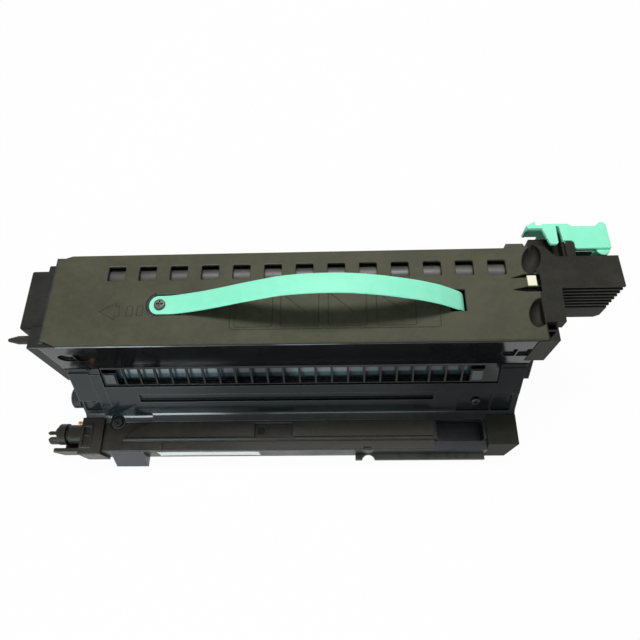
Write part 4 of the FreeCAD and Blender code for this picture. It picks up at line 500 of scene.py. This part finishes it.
def strap():
    """Strap: a flat band with rounded long edges carried along its arch. The band's half width follows a
    circle at the eye and widens to the anchor below the cover. Its section is a rectangle with its corners
    rounded."""
    # x and height over the cover, from the eye on the left to the anchor under the slot
    route = [(-93.6, 0), (-89.0, 0), (-84.0, 0.0), (-80.5, 0.2), (-76.0, 1.0), (-70.0, 2.4), (-58.3, 5.6),
             (-45.5, 10.0), (-32.6, 14.8), (-20.5, 18.9), (-8.6, 22.6), (8.8, 24.9), (25.9, 25.0),
             (37.5, 23.8), (49.1, 21.5), (61.0, 18.2), (72.9, 14.3), (84.0, 9.4), (88.7, 6.7), (92.5, 4.2),
             (95.6, 2.0), (98.8, -0.4), (101.2, -3.2), (102.3, -7.0), (102.5, -11.8)]
    around = 24
    band_half = STRAP_W / 2
    anchor_half, anchor_length = 9.0, 2.6
    edge_round = 0.6
    line, along = smooth_curve(route, 220)
    slope = np.gradient(line, axis=0)
    slope /= np.linalg.norm(slope, axis=1)[:, None]
    up = np.stack([-slope[:, 1], slope[:, 0]], -1)
    half = np.full(len(line), band_half)
    eye = along < band_half
    half[eye] = np.sqrt(np.maximum(band_half**2 - (band_half - along[eye]) ** 2, 0.02))
    half[along[-1] - along < anchor_length] = anchor_half
    angle = turns(around)
    across, through = soft_square(angle, 0.2, 0.55)
    edge = np.minimum(half, edge_round)
    width = (half - edge)[:, None] * across + edge[:, None] * np.cos(angle)
    depth = STRAP_T / 2 * through - STRAP_T / 2
    x = line[:, :1] + up[:, :1] * depth
    z = COVER_TOP + line[:, 1:] + up[:, 1:] * depth
    points = np.stack([x, STRAP_Y + width, z], -1).reshape(-1, 3)
    piece = mesh_piece("strap_band", points, tube_faces(len(line), around), FINISHES["mint_green"], "housing")
    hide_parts("handle_strap")


strap()


def label():
    """Bare label: a thin sheet on the sump's front face. Its height over the face rises a little at the
    corners, with the tenth power of the distance from its middle along it and the fourth power up and down."""
    x0, x1, z0, z1 = -106.0, -33.0, 4.4, 15.6
    lift, curl = 0.12, 0.25
    gx, gz = np.meshgrid(np.linspace(x0, x1, 60), np.linspace(z0, z1, 12), indexing="ij")
    aside = np.abs(2 * gx - x0 - x1) / (x1 - x0)
    above = np.abs(2 * gz - z0 - z1) / (z1 - z0)
    front = np.stack([gx, SUMP_FRONT_Y - lift - curl * aside**10 * above**4, gz], -1).reshape(-1, 3)
    back = np.stack([gx, np.full_like(gx, SUMP_FRONT_Y + 0.04), gz], -1).reshape(-1, 3)
    nx, nz = gx.shape
    i, j = np.meshgrid(np.arange(nx - 1), np.arange(nz - 1), indexing="ij")
    quads = np.stack([i * nz + j, (i + 1) * nz + j, (i + 1) * nz + j + 1, i * nz + j + 1], -1).reshape(-1, 4)
    rim = np.concatenate([np.arange(nx) * nz, (nx - 1) * nz + np.arange(1, nz),
                          np.arange(nx - 1)[::-1] * nz + nz - 1, np.arange(1, nz - 1)[::-1]])
    after = np.roll(rim, -1)
    side = np.stack([rim, rim + nx * nz, after + nx * nz, after], -1)
    faces = quads.tolist() + (quads[:, ::-1] + nx * nz).tolist() + side.tolist()
    mesh_piece("bare_label", np.vstack([front, back]), faces, LABEL_FINISH, "housing")


label()


def bead(path, closed, radius=0.24, height=0.16, first=0):
    """Raised moulded line: a low ellipse carried along a flat path on the cover's top, half of it above.
    Returns points and faces, with the faces counted from first."""
    p = np.asarray(path, float)
    if closed:
        before, after = np.roll(p, 1, 0), np.roll(p, -1, 0)
    else:
        before = np.vstack([2 * p[0] - p[1], p[:-1]])
        after = np.vstack([p[1:], 2 * p[-1] - p[-2]])
    into = p - before
    away = after - p
    into /= np.linalg.norm(into, axis=1)[:, None]
    away /= np.linalg.norm(away, axis=1)[:, None]
    middle = into + away
    middle /= np.linalg.norm(middle, axis=1)[:, None]
    stretch = 1 / np.maximum((middle * into).sum(1), 0.4)
    side = np.stack([-middle[:, 1], middle[:, 0]], -1) * stretch[:, None]
    angle = turns(8)
    flat = p[:, None, :] + side[:, None, :] * (radius * np.cos(angle))[None, :, None]
    z = COVER_TOP + height * np.sin(angle)
    points = np.concatenate([flat, np.broadcast_to(z[None, :, None], (*flat.shape[:2], 1))], -1)
    if closed:
        points = np.concatenate([points, points[:1]], 0)
    faces = tube_faces(len(points), len(angle), first)
    if closed:
        faces = faces[:-2]
    return points.reshape(-1, 3), faces


def rectangle(x0, x1, y0, y1, corner):
    """Closed path of a rectangle with rounded corners: three points each on a quarter circle."""
    angle = np.radians([[0, 45, 90], [90, 135, 180], [180, 225, 270], [270, 315, 360]])
    cx = np.array([x1 - corner, x0 + corner, x0 + corner, x1 - corner])[:, None]
    cy = np.array([y1 - corner, y1 - corner, y0 + corner, y0 + corner])[:, None]
    return np.stack([cx + corner * np.cos(angle), cy + corner * np.sin(angle)], -1).reshape(-1, 2)


def cover_marks():
    """Raised marks moulded on the cover: an arrow with two bars beside the strap, and plain panels under its
    arch, each with a slanting fold line, inside one frame."""
    arrow = [(-122.9, 22.6), (-113.1, 28.2), (-113.2, 26.0), (-110.7, 26.0), (-110.4, 19.4), (-113.1, 19.4),
             (-113.2, 16.8)]
    fold = np.array([(1.0, 33.0), (6.0, 28.5), (11.0, 24.0), (16.0, 19.5)])
    paths = [(arrow, True)]
    for x in (-105.8, -99.5):
        paths.append((rectangle(x, x + 3.5, 19.3, 26.0, corner=0.3), True))
    paths.append((rectangle(-41.5, 86.0, 9.0, 37.0, corner=2.0), True))
    for x0, x1 in ((-38.5, -15.6), (-10.6, 12.8), (18.6, 41.8), (48.0, 71.5)):
        paths.append((rectangle(x0, x1, 10.6, 35.0, corner=1.2), True))
        paths.append((fold + (x0, 0.0), False))
    points, faces = [], []
    for path, closed in paths:
        line_points, line_faces = bead(path, closed, first=sum(len(p) for p in points))
        points.append(line_points)
        faces += line_faces
    mesh_piece("cover_marks", np.vstack(points), faces, MARK_FINISH, "housing")


cover_marks()


def painted_eye_shadow():
    """Painted shadow round the strap's eye: a dark low band on an arc of a circle, left of the strap's round
    end.
    """
    eye_x, reach = -85.4, 8.0
    angle = np.radians(np.linspace(112.0, 248.0, 24))
    path = np.stack([eye_x + reach * np.cos(angle), STRAP_Y + reach * np.sin(angle)], -1)
    points, faces = bead(path, False, radius=1.1, height=0.06)
    mesh_piece("painted_eye_shadow", points, faces, FINISHES["tray_black"], "housing")


painted_eye_shadow()


def hub_cap():
    """Round top of the lever's hub: a short drum with its rim rolled over, its rings circles about the
    pivot."""
    profile = ((4.2, 104.32), (4.2, 104.7), (4.08, 104.95), (3.8, 105.05))
    angle = turns(40)
    rings = [np.stack([LEVER_X + r * np.cos(angle), LEVER_Y + r * np.sin(angle), np.full_like(angle, z)], -1)
             for r, z in profile]
    mesh_piece("hub_cap", np.concatenate(rings), tube_faces(len(profile), len(angle)), FINISHES["mint_green"],
               "lever")


hub_cap()


def front_lip():
    """Moulded lip under the cover's front edge: a thin circle carried along a straight line, with a painted
    highlight.
    """
    y, z, radius = -0.02, 103.45, 0.45
    x, angle = np.meshgrid(np.linspace(-147.0, 141.5, 60), turns(12), indexing="ij")
    points = np.stack([x, y - radius * np.cos(angle), z + radius * np.sin(angle)], -1).reshape(-1, 3)
    mesh_piece("front_lip", points, tube_faces(*x.shape), LIP_HIGHLIGHT_FINISH, "housing")


front_lip()


def end_seals():
    """Felt seals at the drum's ends: a flat section with rounded corners, carried on an arc about the drum's
    axis just off its surface, over its lower front."""
    middle, half_thickness = 21.0, 0.75
    rings, around = 14, 16
    angle = np.radians(np.linspace(176.0, 202.0, rings))[:, None]
    across, through = soft_square(turns(around), 0.3, 0.3)
    radius = middle + half_thickness * through
    y, z = DRUM_Y + np.cos(angle) * radius, DRUM_Z + np.sin(angle) * radius
    points, faces = [], []
    for n, (x0, x1) in enumerate(((-132.5, -124.8), (108.6, 116.0))):
        x = np.broadcast_to((x0 + x1) / 2 - (x1 - x0) / 2 * across, y.shape)
        points.append(np.stack([x, y, z], -1).reshape(-1, 3))
        faces += tube_faces(rings, around, n * rings * around)
    mesh_piece("end_seals", np.vstack(points), faces, FINISHES["roller_rubber"], "housing")


end_seals()


def scoop_fills():
    """Solid side of each finger scoop on the end cap: a thin skin on the ellipsoid of the hollow's floor from
    the joint to an upright wall, and a flat lid from the wall to the ellipse of the scoop's rim."""
    joint = 146.95
    depth = 6.2
    skin, under, lid, lap, drop = 0.05, 0.2, 0.02, 0.06, 0.12
    points, faces = [], []
    # for each: its centre, turn in degrees, length, width, and how far its wall stands in from the rim
    for cx, cy, turn, length, width, shelf in ((146.4, 54.4, 68.0, 22.0, 12.8, 1.5),
                                               (145.3, 17.6, 69.0, 20.4, 12.4, 9.0)):
        c, s = math.cos(math.radians(turn)), math.sin(math.radians(turn))
        a, b = length / 2, width / 2
        # the ellipse as xx dx^2 + 2 xy dx dy + yy dy^2 = 1 about its centre
        xx, xy, yy = (c / a) ** 2 + (s / b) ** 2, c * s * (1 / a**2 - 1 / b**2), (s / a) ** 2 + (c / b) ** 2
        reach = math.sqrt(xx / (xx * yy - xy**2))
        dy = -0.999 * reach * np.cos(np.linspace(0, np.pi, 40))
        root = np.sqrt(np.maximum((xy * dy) ** 2 - xx * (yy * dy**2 - 1), 0))
        near, rim = np.maximum((-xy * dy - root) / xx, joint - cx), (-xy * dy + root) / xx
        keep = rim > near + 0.02
        dy, near, rim = dy[keep], near[keep], rim[keep]
        wall = np.maximum(rim - shelf, near + 0.4 * np.minimum(rim - near, 1.0))
        top = np.full_like(dy, COVER_TOP + lid)
        run = [near + (wall - near) * q for q in np.linspace(0, 1, 7)]
        floor = [COVER_TOP - depth * np.sqrt(np.maximum(1 - (xx * x**2 + 2 * xy * x * dy + yy * dy**2), 0))
                 for x in run]
        section = [(x, z + skin) for x, z in zip(run, floor)]
        section += [(wall, top), (rim + lap, top), (rim + lap, top - drop)]
        section += [(x, z - under) for x, z in zip(run[::-1], floor[::-1])]
        faces += tube_faces(len(dy), len(section), sum(len(p) for p in points))
        points.append(np.stack([np.stack([cx + x, cy + dy, z], -1) for x, z in section], 1).reshape(-1, 3))
    mesh_piece("scoop_fills", np.vstack(points), faces, FINISHES["grip_black"], "housing",
               smooth=False)


scoop_fills()


# Stage, light and camera
def seen_rays(tree):
    """1 for camera, glossy and transmission rays, which see the pale background, and 0 for the rest."""
    path = tree.nodes.new("ShaderNodeLightPath")
    seen = maths(tree, "MAXIMUM", (path, "Is Camera Ray"), (path, "Is Glossy Ray"))
    return maths(tree, "MAXIMUM", (seen, 0), (path, "Is Transmission Ray"))


FLOOR_COLOUR = (0.9, 0.9, 0.9, 1)
FLOOR_WHITE = 0.97
FLOOR_SPAN = 4000.0


def stage_material():
    """Pale floor: white to the camera and in reflections, with a share of plain diffuse for the shadow."""
    material = bpy.data.materials.new("pale floor")
    material.use_nodes = True
    tree = material.node_tree
    tree.nodes.clear()
    out = tree.nodes.new("ShaderNodeOutputMaterial")
    diffuse = tree.nodes.new("ShaderNodeBsdfDiffuse")
    diffuse.inputs["Color"].default_value = FLOOR_COLOUR
    glow = tree.nodes.new("ShaderNodeEmission")
    share = maths(tree, "MULTIPLY", (seen_rays(tree), 0), FLOOR_WHITE)
    mix = tree.nodes.new("ShaderNodeMixShader")
    link(tree, share, 0, mix, 0)
    link(tree, diffuse, 0, mix, 1)
    link(tree, glow, 0, mix, 2)
    link(tree, mix, 0, out, "Surface")
    return material


def floor():
    """Plain square floor under the unit."""
    mesh = bpy.data.meshes.new("floor")
    corners = np.array([(-1, -1, 0), (1, -1, 0), (1, 1, 0), (-1, 1, 0)]) * FLOOR_SPAN * MM
    mesh.from_pydata(corners.tolist(), [], [(0, 1, 2, 3)])
    mesh.materials.append(stage_material())
    piece = bpy.data.objects.new("floor", mesh)
    bpy.context.scene.collection.objects.link(piece)


floor()

PLAIN_LIGHT = (1.0, 1.0, 1.0)
WINDOW_LIGHT = (0.86, 0.96, 1.0)


def soft_box(name, place, target, width, height, power, colour):
    """Area lamp at place that looks at target, both in millimetres, with its sides in metres and its power in
    watts."""
    lamp = bpy.data.lights.new(name, "AREA")
    lamp.shape = "RECTANGLE"
    lamp.size = width
    lamp.size_y = height
    lamp.energy = power
    lamp.color = colour
    piece = bpy.data.objects.new(name, lamp)
    bpy.context.scene.collection.objects.link(piece)
    piece.location = Vector(place) * MM
    piece.rotation_mode = "QUATERNION"
    piece.rotation_quaternion = (Vector(target) - Vector(place)).to_track_quat("-Z", "Y")


soft_box("left key", (-130, 450, 1100), (0, 20, 60), 0.24, 0.24, 5.3, PLAIN_LIGHT)
soft_box("right key", (210, 450, 1100), (0, 20, 60), 0.24, 0.24, 5.1, PLAIN_LIGHT)
soft_box("left window", (-370, -900, 240), (-60, 0, 60), 0.24, 0.4, 4.6, WINDOW_LIGHT)
soft_box("front window", (60, -900, 260), (25, 0, 60), 0.4, 0.14, 1.4, WINDOW_LIGHT)

ROOM_LIGHT = 0.14


def room():
    """Plain white world: dim on the object, and at full strength for the rays that see the background."""
    world = bpy.data.worlds.new("studio")
    bpy.context.scene.world = world
    world.use_nodes = True
    tree = world.node_tree
    background = tree.nodes["Background"]
    level = maths(tree, "MULTIPLY_ADD", (seen_rays(tree), 0), 1 - ROOM_LIGHT, ROOM_LIGHT)
    link(tree, level, 0, background, "Strength")
    background.inputs["Color"].default_value = (1, 1, 1, 1)


room()

CAMERA_PLACE = (25.728, -131.0, 413.2)
CAMERA_FORWARD = (-0.03573966, 0.42801307, -0.90306561)
CAMERA_UP = (0.0150546, 0.90377096, 0.42775158)
CAMERA_LENS = 31.715
CAMERA_SENSOR = 36.0


def photo_camera():
    """Camera at the photograph's viewing angle, turned by its own right, up and backward directions."""
    camera = bpy.data.cameras.new("photo camera")
    camera.lens = CAMERA_LENS
    camera.sensor_width = CAMERA_SENSOR
    holder = bpy.data.objects.new("photo camera", camera)
    bpy.context.scene.collection.objects.link(holder)
    forward = Vector(CAMERA_FORWARD)
    right = forward.cross(Vector(CAMERA_UP)).normalized()
    up = right.cross(forward).normalized()
    holder.rotation_mode = "QUATERNION"
    holder.rotation_quaternion = Matrix((right, up, -forward.normalized())).transposed().to_quaternion()
    holder.location = Vector(CAMERA_PLACE) * MM
    return holder


bpy.context.scene.camera = photo_camera()
bpy.context.scene.view_settings.view_transform = "Standard"
